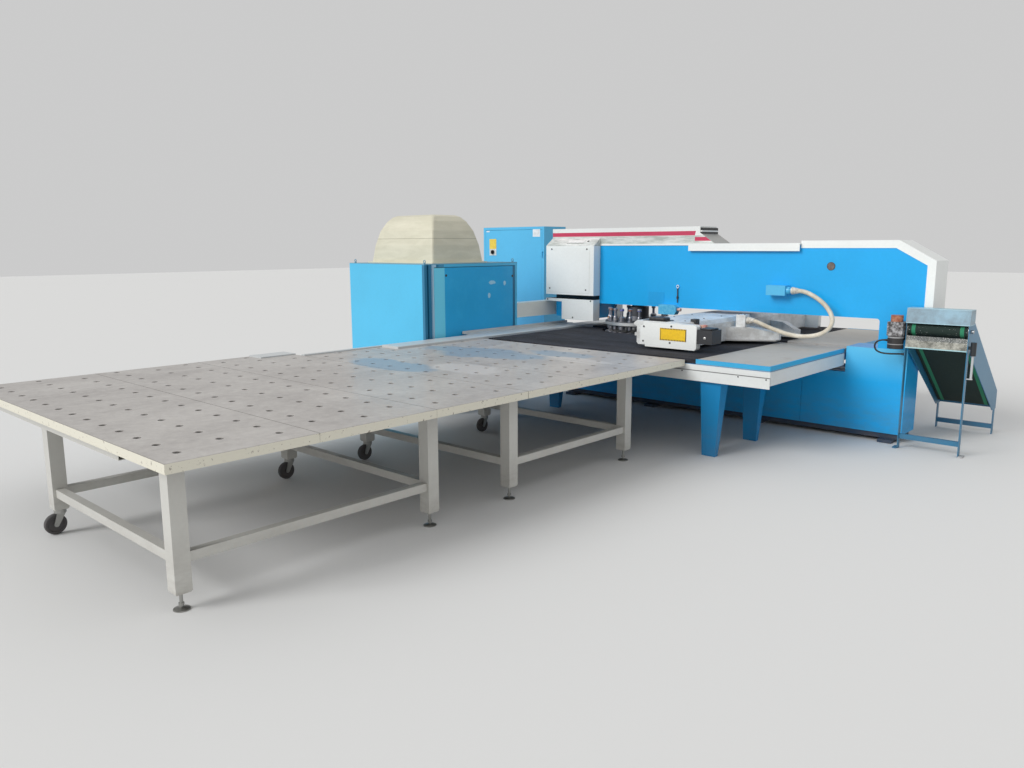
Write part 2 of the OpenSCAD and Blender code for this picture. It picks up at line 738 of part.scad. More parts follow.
// Carriage under the tables: bearing blocks, plate, neck through the slot, top plate
module saddle() {
    plate_z = 760;
    rail_top = low_beam_top + rail_h + slide_gap;
    low = low_beam_top + 6;
    slot = rail_w / 2 + slide_gap;
    color([0.42, 0.43, 0.45]) {
        for (x = [saddle_x0, saddle_x0 + saddle_l - 120]) both_sides()
            cross_profile([[-rail_y - 40, low], [-rail_y - slot, low], [-rail_y - slot, rail_top],
                [-rail_y + slot, rail_top], [-rail_y + slot, low], [-rail_y + 40, low],
                [-rail_y + 40, plate_z], [-rail_y - 40, plate_z]], x, x + 120);
        block([saddle_x0, -rail_y - 40, plate_z], [saddle_x0 + saddle_l, rail_y + 40, plate_z + 30]);
        block([saddle_x0 + 20, -neck_half, plate_z + 30], [saddle_x0 + saddle_l - 20, neck_half, beam_z0]);
        // Triangular plate that ties the beam to the neck
        translate([0, 0, beam_z0]) linear_extrude(deck_plate_t) polygon([
            [beam_x0 + beam_w, -650], [brace_tip_x, -330], [brace_tip_x, -200],
            [beam_x0 + beam_w + 160, -200], [beam_x0 + beam_w + 160, 200], [brace_tip_x, 200],
            [brace_tip_x, 330], [beam_x0 + beam_w, 650]]);
    }
}

module cross_beam() {
    x1 = beam_x0 + beam_w;
    color([0.7, 0.69, 0.67]) {
        side_profile([[beam_x0 + 60, beam_z0], [x1, beam_z0], [x1, beam_z1 - 50],
            [x1 - 30, beam_z1 - 6], [x1 - 60, beam_z1], [beam_x0 + 40, beam_z1],
            [beam_x0, beam_z1 - 30], [beam_x0, beam_z0 + 215], [beam_x0 + 40, beam_z0 + 195],
            [beam_x0 + 40, beam_z0 + 20]], -beam_half, beam_half);
        // Linear rail that carries the clamp carriage
        block([beam_x0 + 14, -beam_half, beam_z0 + 90], [beam_x0 + 40, beam_half, beam_z0 + 125]);
    }
}

// White folded covers on the beam's ends, with a lower flange towards the turret
module beam_end_covers() {
    x0 = beam_x0 + 140;
    x1 = beam_x0 + 200;
    z0 = beam_z0 - 7;
    color(plate_white) both_sides() {
        side_profile([[x0, z0 + 52], [x0 + 15, z0 + 37], [x1, z0 + 34], [x1, z0], [end_x - 20, z0],
            [end_x, z0 + 20], [end_x, beam_z1 - 22], [end_x - 20, beam_z1 - 4], [x1, beam_z1 - 4],
            [x1 - 20, beam_z1 - 20], [x1 - 20, beam_z1 - 45], [x0, beam_z1 - 45]],
            -beam_half - cover_t, -beam_half);
    }
}

module servo_box() {
    z0 = beam_z0 + 65;
    z1 = beam_z1 - 50;
    color([0.15, 0.16, 0.18]) {
        block([end_x, -beam_half - cover_t + 14, z0], [end_x + 170, -beam_half + 130, z1]);
        block([beam_x0 + beam_w, -beam_half, z0 + 30], [end_x, -beam_half + 110, z1 - 15]);
    }
}

// Slanted arms that brace the beam, with the hose block on the near one
module brace_arm() {
    x0 = beam_x0 + beam_w;
    plan = [[x0, -640], [brace_tip_x - 20, -322], [brace_tip_x + 20, -290], [brace_tip_x + 20, -240],
        [brace_tip_x - 20, -208], [x0, -500]];
    low = beam_z0 + deck_plate_t;
    intersection() {
        translate([0, 0, low]) linear_extrude(200) polygon(plan);
        side_profile([[x0, low], [brace_tip_x + 20, low], [brace_tip_x + 20, low + 73],
            [brace_tip_x - 30, low + 80], [x0 + 215, brace_z], [x0, brace_z]], -700, -200);
    }
}

module brace_arms() {
    color([0.72, 0.73, 0.73]) both_sides() brace_arm();
    // Block where the hose meets the moving beam
    color(plate_white) {
        block([hose_block_x - 110, -530, brace_z], [hose_block_x, -425, 1278]);
        pin_x(hose_block_x, hose_block_x + 40, -477, 1214, 74);
    }
}

module conduit() {
    color([0.9, 0.87, 0.8]) hose(conduit_route, conduit_d, 10, 1);
}

module conduit_box() {
    y1 = -half_t;
    color(pale_blue) block([1540, y1 - 120, 1497], [1762, y1, 1607]);
    color(plate_white) {
        pin_x(1762, 1800, y1 - 62, 1553, 84);
        pin_x(1800, 1850, y1 - 62, 1553, 68);
    }
}

// Cheeks, lower jaw and pivot pin of one clamp
module clamp_body(y) {
    w = clamp_w / 2;
    cheek = 12;
    jaw_z = table_top + 3;
    for (s = [-1, 1]) {
        y_a = y + s * w;
        y_b = y + s * (w - cheek);
        side_profile([[230, jaw_z + 10], [carriage_x0, jaw_z + 10], [carriage_x0, 1170],
            [330, 1170], [250, 1080]], min(y_a, y_b), max(y_a, y_b));
    }
    block([clamp_tip_x, y - w, jaw_z], [carriage_x0, y + w, jaw_z + 10]);
    pin_y(jaw_pin_x, y - w + cheek, y + w - cheek, jaw_pin_z, jaw_pin_d);
    block([330, y - w + cheek, 1130], [carriage_x0, y + w - cheek, 1160]);
}

module clamp_carriage() {
    x1 = beam_x0 + 14 - slide_gap;
    z0 = beam_z0 + 25;
    color([0.13, 0.13, 0.15]) {
        difference() {
            block([carriage_x0, carriage_y0, z0], [beam_x0 + 39, carriage_y0 + carriage_l, z0 + 165]);
            block([x1, carriage_y0 - 1, beam_z0 + 90 - slide_gap],
                [beam_x0 + 40, carriage_y0 + carriage_l + 1, beam_z0 + 125 + slide_gap]);
        }
        for (k = [0:2]) clamp_body(clamp_y0 + k * clamp_pitch);
    }
}

// Upper jaws, swung by the air cylinders about one common axis
module clamp_jaws() {
    w = clamp_w / 2 - 14;
    tip_z = table_top + 35;
    color([0.5, 0.51, 0.53]) for (k = [0:2]) {
        y = clamp_y0 + k * clamp_pitch;
        difference() {
            union() {
                side_profile([[clamp_tip_x + 5, tip_z], [jaw_pin_x, tip_z + 15],
                    [jaw_pin_x + 18, jaw_pin_z - 17], [jaw_pin_x, jaw_pin_z + 17],
                    [jaw_pin_x - 80, jaw_pin_z + 17], [clamp_tip_x + 5, tip_z + 19]],
                    y - w, y + w);
                pin_y(jaw_pin_x, y - w, y + w, jaw_pin_z, jaw_pin_d + 26);
            }
            pin_y(jaw_pin_x, y - w - 1, y + w + 1, jaw_pin_z, jaw_pin_d + 2 * run_gap);
        }
    }
}

// Small things on the arm's near side: access cover, plug, lubricator and hanging hook
module arm_fittings() {
    y1 = -half_t;
    color(steel_blue) block([-85, y1 - 3, 1320], [145, y1, 1473]);
    color([0.45, 0.3, 0.25]) pin_y(2210, y1 - 6, y1, 1825, 88);
    color(pale_blue) side_profile([[116, 1205], [346, 1205], [366, 1240], [366, 1300], [330, 1324],
        [116, 1324]], y1 - 85, y1);
    color([0.8, 0.65, 0.62]) pin_x(366, 412, y1 - 40, 1268, 40);
    color([0.75, 0.75, 0.76]) {
        translate([342, y1 - 14, 1550]) rotate([90, 0, 0]) rotate_extrude($fn = 32)
            translate([16, 0]) circle(d = 8, $fn = 13);
        pin_y(342, y1 - 18, y1, 1568, 9, 24);
        upright(342, y1 - 14, 1352, 1534, 12, 24);
        block([334, y1 - 24, 1400], [350, y1, 1430]);
    }
}

// One tray panel with its rows of ball holes
module deck_panel(x0, y0, l, shift) {
    row_pitch = l / hole_rows;
    columns = floor((deck_x1 - x0 - hole_x1 - ball_hole_d) / hole_pitch);
    difference() {
        block([x0, y0 + 1, deck_bottom], [deck_x1, y0 + l - 1, deck_top]);
        block([x0 + deck_t, y0 + 1 + deck_t, deck_bottom - 1],
            [deck_x1 - deck_t, y0 + l - 1 - deck_t, deck_top - deck_t]);
        for (r = [0:hole_rows - 1], c = [0:columns]) {
            x = deck_x1 - hole_x1 - (c + (r + shift) % 2 / 2) * hole_pitch;
            if (x > x0 + ball_hole_d)
                upright(x, y0 + (r + 0.5) * row_pitch, deck_top - deck_t - 1, deck_top + 1,
                    ball_hole_d, 20);
        }
    }
}

module deck_panels() {
    color(warm_grey) for (k = [0:2]) {
        deck_panel(outer_x0, deck_y0 + k * panel_l1, panel_l1, k);
        deck_panel(inner_x0, deck_y2 + k * panel_l2, panel_l2, k + 1);
    }
}

// Bright strips along the far side of the tables, and the raised shelf behind them
module edge_strips() {
    gap_y = deck_y3 + 2;
    fold = strip_fold;
    low = [[strip_x0, deck_top + fold], [strip_x0 + 10, shelf_z], [strip_x1 - 10, shelf_z],
        [strip_x1, deck_top + fold]];
    color([0.8, 0.8, 0.79]) {
        block([inner_x0, deck_y2, deck_top], [inner_x0 + 60, deck_y3 - 10, strip_z]);
        block([outer_x0, deck_y1 - 400, deck_top], [outer_x0 + 230, deck_y1, strip_z]);
        side_profile(concat(low, [[strip_x1, deck_top], [strip_x0, deck_top]]), -3350, gap_y);
        side_profile(concat(low, [[strip_x1, deck_bottom], [strip_x0, deck_bottom]]), gap_y, table_edge);
        // Brackets on the sides of the tables
        both_sides() for (y = [1 - table_edge, -460])
            block([strip_x1, y, deck_bottom], [brush_x0, y + 60, bed_bottom]);
    }
    color([0.55, 0.42, 0.38]) cross_shelf();
}

module cross_shelf() {
    x0 = hyd_x1 + 15;
    y0 = deck_y3 + 20;
    y1 = 90;
    rim = 8;
    block([x0, y0, shelf_z], [strip_x0, y1, shelf_z + 6]);
    block([x0, y0, shelf_z + 6], [x0 + rim, y1, shelf_z + 36]);
    block([strip_x0 - 30, y0, shelf_z - 36], [strip_x0, y1, shelf_z]);
}

// Fork tube and square-tube legs and rails of one loading table
module table_stand(x0, ya, yb, fork_end) {
    h = tube / 2;
    r = low_rail / 2;
    near = leg_row_near;
    far = leg_row_far;
    top = deck_bottom;
    for (y = [ya, yb]) {
        block([near - h, y - h, near_leg_z], [near + h, y + h, top]);
        block([far - h, y - h, caster_h], [far + h, y + h, top]);
        block([far + h, y - r, low_rail_z], [near - h, y + r, low_rail_z + low_rail]);
        difference() {
            block([x0 + 120, y - h, top - tube], [fork_end, y + h, top]);
            block([far + h + 10, y - h + 5, top - tube + 5], [fork_end + 1, y + h - 5, top - 5]);
        }
        block([far - 45, y - 45, caster_h - 8], [far + 45, y + 45, caster_h]);
        upright(far, y, caster_h - 40, caster_h - 8, 20, 32);
        block([near - 45, y - 45, near_leg_z - 8], [near + 45, y + 45, near_leg_z]);
    }
    for (x = [near, far]) {
        block([x - r, ya + h, low_rail_z], [x + r, yb - h, low_rail_z + low_rail]);
        block([x - h, ya + h, top - 60], [x + h, yb - h, top]);
    }
}

module support_frames() {
    color([0.88, 0.88, 0.87]) {
        table_stand(outer_x0, deck_leg_y[0], deck_leg_y[1], 660);
        table_stand(inner_x0, deck_leg_y[2], deck_leg_y[3], 660);
    }
}

module levelling_feet() {
    color([0.6, 0.6, 0.6]) for (y = deck_leg_y) translate([leg_row_near, y, 0])
        rotate_extrude($fn = 32) polygon([[0, 0], [48, 0], [48, 6], [20, 14], [10, 18],
            [10, 30], [16, 30], [16, 42], [10, 42], [10, near_leg_z - 8], [0, near_leg_z - 8]]);
}

// Swivelling fork: crown with a bore for the kingpin, two cheeks and the axle
module caster_fork(y) {
    trail = 38;
    wheel_z = wheel_d / 2;
    crown = caster_h - 10;
    x = leg_row_far;
    color([0.7, 0.7, 0.68]) {
        difference() {
            union() {
                upright(x, y, crown - 26, crown, 84, 40);
                for (s = [-1, 1]) hull() {
                    block([x + s * 26, y - 30, crown - 22], [x + s * 32, y + 30, crown - 20]);
                    translate([x + s * 29, y - trail, wheel_z]) rotate([0, 90, 0])
                        cylinder(h = 6, d = 34, center = true, $fn = 24);
                }
            }
            upright(x, y, crown - 27, crown + 1, 20 + 2 * run_gap, 40);
            upright(x, y, 100, crown - 24, 40, 24);
        }
        pin_x(x - 38, x + 38, y - trail, wheel_z, 14);
    }
}

module caster_wheel(y) {
    trail = 38;
    r = wheel_d / 2;
    color([0.2, 0.2, 0.21]) translate([leg_row_far, y - trail, r]) rotate([0, 90, 0])
        rotate_extrude($fn = 48) polygon([[7 + run_gap, -22], [18, -22], [22, -12], [r - 22, -12],
            [r - 18, -19], [r - 4, -19], [r, -12], [r, 12], [r - 4, 19], [r - 18, 19],
            [r - 22, 12], [22, 12], [18, 22], [7 + run_gap, 22]]);
}

// Sheet cabinet round the hydraulic unit, open on the side of its screwed panel
module hydraulic_cabinet() {
    open_y0 = hyd_y0 + post;
    open_y1 = hyd_y1 - 40;
    seat = 22;
    color(pale_blue) {
        difference() {
            block([hyd_x0, hyd_y0, 0], [hyd_x1, hyd_y1, hyd_h]);
            block([hyd_x0 + sheet, hyd_y0 + sheet, 60], [hyd_x1 - 40, hyd_y1 - sheet, hyd_h - sheet]);
            block([hyd_x1 - 41, open_y0 + seat, 60 + seat],
                [hyd_x1 + 1, open_y1 - seat, hyd_h - 40 - seat]);
            block([hyd_x1 - door_t, open_y0, 60], [hyd_x1 + 1, open_y1, hyd_h - 40]);
            // Folds of the corner post
            block([hyd_x1 - 25, open_y0 - 110, 60], [hyd_x1 + 1, open_y0 - 85, hyd_h - 12]);
            block([hyd_x1 - 12, open_y0 - 40, 60], [hyd_x1 + 1, open_y0 - 22, hyd_h - 12]);
            // Hot air leaves through the roof under the sound hood
            block([hyd_x0 + 300, hyd_y0 + 520, hyd_h - 10], [hyd_x1 - 420, hyd_y1 - 640, hyd_h + 1]);
        }
    }
    color([0.6, 0.6, 0.6]) for (x = [hyd_x0 + 55, hyd_x1 - 55], y = [hyd_y0 + 55, hyd_y1 - 30])
        translate([x, y, hyd_h]) {
            cylinder(h = 10, d = 28, $fn = 24);
            translate([0, 0, 28]) rotate([90, 0, 0]) rotate_extrude($fn = 24)
                translate([16, 0]) circle(d = 9, $fn = 13);
        }
}

// Screwed panel, flush with the post
module hydraulic_panel() {
    y0 = hyd_y0 + post + 4;
    y1 = hyd_y1 - 44;
    color([0.1, 0.5, 0.68]) difference() {
        block([hyd_x1 - door_t, y0, 64], [hyd_x1, y1, hyd_h - 44]);
        block([hyd_x1 - door_t - 1, y0 + 30, 94], [hyd_x1 - 3, y1 - 30, hyd_h - 74]);
    }
}

// Tank, pump motor and valve block inside the cabinet
module power_unit() {
    x0 = hyd_x0 + 150;
    y0 = hyd_y0 + 250;
    tank_z = 60;
    tank_top = tank_z + tank_h;
    motor_z = tank_top + 180;
    motor_y = y0 + tank_w / 2 - 100;
    color([0.2, 0.35, 0.42]) block([x0, y0, tank_z], [x0 + tank_l, y0 + tank_w, tank_top]);
    color([0.3, 0.32, 0.34]) {
        block([x0 + 100, motor_y - 170, tank_top], [x0 + 700, motor_y + 170, tank_top + 30]);
        pin_x(x0 + 120, x0 + 620, motor_y, motor_z, motor_d, 40);
        pin_x(x0 + 620, x0 + 760, motor_y, motor_z, 180, 32);
        block([x0 + 820, y0 + 150, tank_top], [x0 + 980, y0 + 700, tank_top + 200]);
    }
}

function inset_rect(x0, y0, x1, y1, d) = [[x0 + d, y0 + d], [x1 - d, y0 + d], [x1 - d, y1 - d],
    [x0 + d, y1 - d]];

// Moulded hood, drawn in and rounded over towards its top
module sound_hood() {
    x0 = hyd_x0 + 45;
    x1 = hyd_x1 - 150;
    y0 = hyd_y0 + 265;
    y1 = y0 + sound_w;
    flange = 14;
    // Share of the height, and how far the wall is drawn in there
    levels = [[0, 36], [0.35, 66], [0.66, 116], [0.86, 178], [0.96, 232], [1, 280]];
    z0 = hyd_h + flange;
    h = sound_h - flange;
    module shell_at(cut) {
        for (k = [0:len(levels) - 2]) hull() {
            for (j = [k, k + 1])
                translate([0, 0, z0 + h * levels[j][0] - (j == len(levels) - 1 ? 2 + cut : 0)])
                    linear_extrude(2) offset(r = 30, $fn = 20)
                        polygon(inset_rect(x0, y0, x1, y1, levels[j][1] + 30 + cut));
        }
    }
    color([0.82, 0.8, 0.7]) difference() {
        union() {
            block([x0, y0, hyd_h], [x1, y1, z0]);
            shell_at(0);
        }
        shell_at(12);
        block([x0 + 60, y0 + 60, hyd_h - 1], [x1 - 60, y1 - 60, z0 + 1]);
    }
}

module electric_cabinet() {
    x1 = ele_x0 + ele_l;
    y1 = ele_y0 + ele_w;
    color(pale_blue) difference() {
        block([ele_x0, ele_y0, 0], [x1, y1, ele_h]);
        block([ele_x0 + sheet, ele_y0 + 30, 80], [x1 - sheet, y1 - sheet, ele_h - sheet]);
        block([ele_x0 + 40, ele_y0 - 1, 80], [x1 - 40, ele_y0 + 31, ele_h - 40]);
    }
    // Lugs and pins of the door's hinges
    color([0.6, 0.6, 0.6]) for (z = hinge_z) {
        upright(hinge_x, hinge_y, z - 12, z + hinge_l + 12, hinge_pin_d);
        for (a = [z - 12, z + hinge_l + 2])
            block([hinge_x - 6, hinge_y - 6, a], [hinge_x + 16, ele_y0, a + 10]);
    }
    // Mounting plate for the switchgear
    color([0.8, 0.78, 0.7]) block([ele_x0 + 60, y1 - 30, 160], [x1 - 60, y1 - sheet, ele_h - 120]);
}

module electric_door() {
    x1 = ele_x0 + ele_l;
    color(pale_blue) difference() {
        block([ele_x0 + 43, ele_y0, 84], [x1 - 43, ele_y0 + door_t, ele_h - 44]);
        block([ele_x0 + 73, ele_y0 + 3, 114], [x1 - 73, ele_y0 + door_t + 1, ele_h - 74]);
        pin_y(ele_x0 + switch_in, ele_y0 - 1, ele_y0 + 4, switch_z, 30 + 2 * run_gap);
    }
    color([0.6, 0.6, 0.6]) for (z = hinge_z) difference() {
        union() {
            upright(hinge_x, hinge_y, z, z + hinge_l, 14);
            block([x1 - 75, ele_y0 - 6, z], [hinge_x, ele_y0 - 2, z + hinge_l]);
            block([x1 - 75, ele_y0 - 2, z], [x1 - 45, ele_y0, z + hinge_l]);
        }
        upright(hinge_x, hinge_y, z - 1, z + hinge_l + 1, hinge_pin_d + 2 * run_gap);
    }
}

// Rotary isolator on the door
module main_switch() {
    x = ele_x0 + switch_in;
    color([0.06, 0.06, 0.07]) {
        pin_y(x, ele_y0 - 20, ele_y0 - 0.5, switch_z, 62);
        pin_y(x, ele_y0 - 0.5, ele_y0 + 60, switch_z, 30, 48);
        block([x - 11, ele_y0 - 42, switch_z - 25], [x + 11, ele_y0 - 20, switch_z + 25]);
    }
}

// Sheet duct from the cabinet to the head, with a short leg into the frame's end
module cable_duct() {
    y1 = duct_far_y;
    color([0.78, 0.77, 0.73]) difference() {
        union() {
            block([duct_x1 - duct_w, hyd_y1, duct_z0], [duct_x1, y1, duct_z1]);
            block([duct_x1, y1 - duct_w, duct_z0], [-arm_reach, y1, duct_z1]);
        }
        block([duct_x1 - duct_w + sheet, hyd_y1 - 1, duct_z0 + sheet],
            [duct_x1 - sheet, y1 - sheet, duct_z1 - sheet]);
        block([duct_x1 - sheet - 1, y1 - duct_w + sheet, duct_z0 + sheet],
            [1 - arm_reach, y1 - sheet, duct_z1 - sheet]);
    }
}

// Side plates that follow the belt, with their legs, chute lip and take-up tube
module conveyor_side(x) {
    side_pts = [[conv_front_y, conv_head_z + 60], [conv_front_y, conv_head_z - 182],
        [conv_y0 - 20, conv_head_z - 182], [tail_y - 40, tail_z - 110], [tail_y + 110, tail_z - 110],
        [tail_y + 110, tail_z + 90], [conv_y0 + 60, conv_head_z + 120]];
    difference() {
        cross_profile(side_pts, x, x + side_plate);
        pin_x(x - 1, x + side_plate + 1, conv_y0, conv_head_z, 36 + 2 * run_gap);
    }
    block([x, conv_front_y, 0], [x + side_plate, conv_front_y + leg_w, conv_head_z - 182]);
    block([x, tail_y + 20, 0], [x + side_plate, tail_y + 20 + leg_w, tail_z - 110]);
}

module conveyor_frame() {
    x1 = conv_x0 + conv_w;
    a = conv_x0 + side_plate;
    b = x1 - side_plate;
    color([0.1, 0.32, 0.5]) {
        conveyor_side(conv_x0);
        conveyor_side(b);
        // Folded front plate with its lip, and ties between the legs
        block([a, conv_front_y, conv_head_z - 182], [b, conv_front_y + 6, conv_head_z - 66]);
        block([conv_x0, conv_front_y - 10, conv_head_z - 190], [x1, conv_front_y, conv_head_z - 176]);
        block([a, conv_front_y + 6, conv_head_z - 182], [b, conv_y0, conv_head_z - 176]);
        // Nose bar that the belt turns round at its tail
        pin_x(a, b, tail_y, tail_z, drum_d, 48);
        block([a, conv_front_y + 20, 100], [b, conv_front_y + 50, 150]);
        block([a, tail_y + 30, 60], [b, tail_y + 60, 110]);
        block([a, tail_y + 96, tail_z - 100], [b, tail_y + 104, tail_z + 40]);
        for (x = [conv_x0 - 40, x1]) block([x, conv_front_y - 20, 0], [x + 40, conv_front_y + 80, 12]);
    }
    color([0.5, 0.52, 0.54]) {
        upright(x1 + 42, conv_front_y + 30, 1000, 1130, 52, 32);
        upright(x1 + 42, conv_front_y + 30, 780, 1000, 22, 24);
        block([x1, conv_front_y + 18, 1060], [x1 + 20, conv_front_y + 42, 1090]);
        block([x1, conv_front_y + 18, 770], [x1 + 55, conv_front_y + 42, 780]);
    }
}

// Sheet hood over the discharge
module conveyor_hood() {
    a = conv_x0 - 4;
    b = conv_x0 + conv_w + 4;
    z0 = conv_head_z + 60;
    // The rear wall ends above the sloping side plates
    rear_z = z0 + 36;
    color([0.5, 0.58, 0.63]) difference() {
        cross_profile([[conv_front_y - 12, z0], [conv_front_y + 12, z0 + 148], [-225, z0 + 148],
            [-225, z0 + 30], [-240, z0], [conv_front_y, z0]], a, b);
        cross_profile([[conv_front_y - 6, z0 - 1], [conv_front_y + 16, z0 + 144],
            [-230, z0 + 144], [-230, rear_z], [-224, rear_z], [-224, z0 - 1]], a + 4, b - 4);
    }
}

// Cleated belt round the head and tail
module conveyor_belt() {
    a = conv_x0 + side_plate + 8;
    b = conv_x0 + conv_w - side_plate - 8;
    r = drum_d / 2 + 0.3;
    t = 8;
    dy = cos(conv_slope);
    dz = -sin(conv_slope);
    module loop_shape(rad) {
        hull() {
            pin_x(a, b, conv_y0, conv_head_z, 2 * rad);
            pin_x(a, b, tail_y, tail_z, 2 * rad);
        }
    }
    color([0.12, 0.16, 0.14]) {
        difference() {
            loop_shape(r + t);
            translate([-1, 0, 0]) loop_shape(r);
            translate([1, 0, 0]) loop_shape(r);
        }
        for (k = [1:9]) translate([0, conv_y0 + k * 150 * dy, conv_head_z + k * 150 * dz])
            rotate([-conv_slope, 0, 0]) block([a + 10, -4, r + t - 0.5], [b - 10, 4, r + t + 28]);
    }
}

// Head drum on its through shaft
module head_drum() {
    a = conv_x0 + side_plate + 2;
    b = conv_x0 + conv_w - side_plate - 2;
    color([0.5, 0.5, 0.52]) {
        pin_x(a, b, conv_y0, conv_head_z, drum_d, 48);
        pin_x(conv_x0 - 6, a, conv_y0, conv_head_z, 36, 48);
        pin_x(b, conv_x0 + conv_w + 24, conv_y0, conv_head_z, 36, 48);
    }
}

// Upright motor on a right-angle gearbox beside the head drum
module gear_motor() {
    x = conv_x0 - 90;
    y = conv_front_y;
    color([0.2, 0.2, 0.22]) {
        block([x - 72, y - 60, 1150], [x + 76, conv_y0 + 70, 1290]);
        upright(x, y, 1020, 1150, 150, 40);
        upright(x, y, 1290, 1356, 116, 40);
        pin_x(x + 76, conv_x0 - 6.5, conv_y0, conv_head_z, 70, 32);
        block([x - 20, conv_y0 + 10, 1100], [conv_x0, conv_y0 + 60, 1150]);
    }
}

module motor_cable() {
    color([0.05, 0.05, 0.05]) hose(cable_route, cable_d, 8, 2);
}

c_frame();
base_panels();
plinth();
rim_cover();
edge_channels();
top_hood();
head_cover_upper();
head_cover_lower();
head_panels();
ram_cylinder();
ram();
upper_turret();
punch_holders();
active_punch();
lower_turret();
dies();
brush_beds();
glide_plates();
table_trim();
table_skirts();
table_frames();
table_legs();
guide_rails();
saddle();
cross_beam();
beam_end_covers();
servo_box();
brace_arms();
conduit();
conduit_box();
clamp_carriage();
clamp_jaws();
arm_fittings();
deck_panels();
edge_strips();
support_frames();
levelling_feet();
caster_fork(deck_leg_y[0]);  // caster_fork_1
caster_fork(deck_leg_y[1]);  // caster_fork_2
caster_fork(deck_leg_y[2]);  // caster_fork_3
caster_fork(deck_leg_y[3]);  // caster_fork_4
caster_wheel(deck_leg_y[0]);  // caster_wheel_1
caster_wheel(deck_leg_y[1]);  // caster_wheel_2
caster_wheel(deck_leg_y[2]);  // caster_wheel_3
caster_wheel(deck_leg_y[3]);  // caster_wheel_4
hydraulic_cabinet();
hydraulic_panel();
power_unit();
sound_hood();
electric_cabinet();
electric_door();
main_switch();
cable_duct();
conveyor_frame();
conveyor_hood();
conveyor_belt();
head_drum();
gear_motor();
motor_cable();
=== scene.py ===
import json
import math
import bpy
import bmesh
from mathutils import Matrix, Vector


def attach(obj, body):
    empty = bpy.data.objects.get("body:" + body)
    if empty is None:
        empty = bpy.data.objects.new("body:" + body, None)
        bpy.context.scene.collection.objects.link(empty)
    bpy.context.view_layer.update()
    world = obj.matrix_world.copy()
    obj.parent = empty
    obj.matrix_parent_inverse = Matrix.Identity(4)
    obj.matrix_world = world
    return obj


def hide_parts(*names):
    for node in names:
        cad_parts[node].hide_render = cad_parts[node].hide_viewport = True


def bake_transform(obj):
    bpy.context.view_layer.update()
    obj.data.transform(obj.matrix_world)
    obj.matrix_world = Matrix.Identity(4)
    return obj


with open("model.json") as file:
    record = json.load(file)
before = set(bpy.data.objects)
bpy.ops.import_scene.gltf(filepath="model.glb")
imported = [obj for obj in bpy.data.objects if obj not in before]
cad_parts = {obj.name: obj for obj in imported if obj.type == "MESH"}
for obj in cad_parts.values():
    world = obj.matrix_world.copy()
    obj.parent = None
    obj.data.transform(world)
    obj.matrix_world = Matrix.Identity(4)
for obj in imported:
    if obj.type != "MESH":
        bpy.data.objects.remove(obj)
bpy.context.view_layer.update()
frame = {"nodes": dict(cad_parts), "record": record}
nodes = frame["nodes"]


# camera
cameraSettings = {
    "position": (5.596, -8.967, 2.05),
    "turn": 42.542,
    "tilt": 80.279,
    "roll": -0.164,
    "lens": 28.34,
    "sensor": 36,
    "farEnd": 200,
}


def placeCamera():
    eye = bpy.data.cameras.new("camera")
    eye.lens = cameraSettings["lens"]
    eye.sensor_width = cameraSettings["sensor"]
    eye.clip_end = cameraSettings["farEnd"]
    holder = bpy.data.objects.new("camera", eye)
    bpy.context.scene.collection.objects.link(holder)
    turn = Matrix.Rotation(math.radians(cameraSettings["turn"]), 4, "Z")
    tilt = Matrix.Rotation(math.radians(cameraSettings["tilt"]), 4, "X")
    roll = Matrix.Rotation(math.radians(cameraSettings["roll"]), 4, "Z")
    holder.matrix_world = Matrix.Translation(cameraSettings["position"]) @ turn @ tilt @ roll
    bpy.context.scene.camera = holder


placeCamera()
print("camera placed")


# shader helpers
class Wire:
    # a shader socket that takes part in Python arithmetic
    def __init__(self, finish, socket):
        self.finish = finish
        self.socket = socket

    def math(self, operation, first, second=0.0, clamp=False):
        return self.finish.node("ShaderNodeMath", {"operation": operation, "use_clamp": clamp},
                                {0: first, 1: second})

    def clipped(self):
        return self.math("ADD", self, 0.0, clamp=True)

    def ramp(self, low, high):
        # 0 below low, 1 above high
        return ((self - low) / (high - low)).clipped()

    def band(self, low, high, soft=0.001):
        # 1 between low and high, with soft edges
        return self.ramp(low - soft, low + soft) * (1.0 - self.ramp(high - soft, high + soft))


def operator(operation, swapped=False):
    def apply(self, other=0.0):
        return self.math(operation, other, self) if swapped else self.math(operation, self, other)
    return apply


for method, operation in (("__add__", "ADD"), ("__radd__", "ADD"), ("__sub__", "SUBTRACT"),
                          ("__mul__", "MULTIPLY"), ("__rmul__", "MULTIPLY"), ("__truediv__", "DIVIDE"),
                          ("__mod__", "FLOORED_MODULO"), ("__pow__", "POWER"), ("__abs__", "ABSOLUTE"),
                          ("__gt__", "GREATER_THAN"), ("__lt__", "LESS_THAN"), ("most", "MAXIMUM")):
    setattr(Wire, method, operator(operation))
Wire.__rsub__ = operator("SUBTRACT", swapped=True)


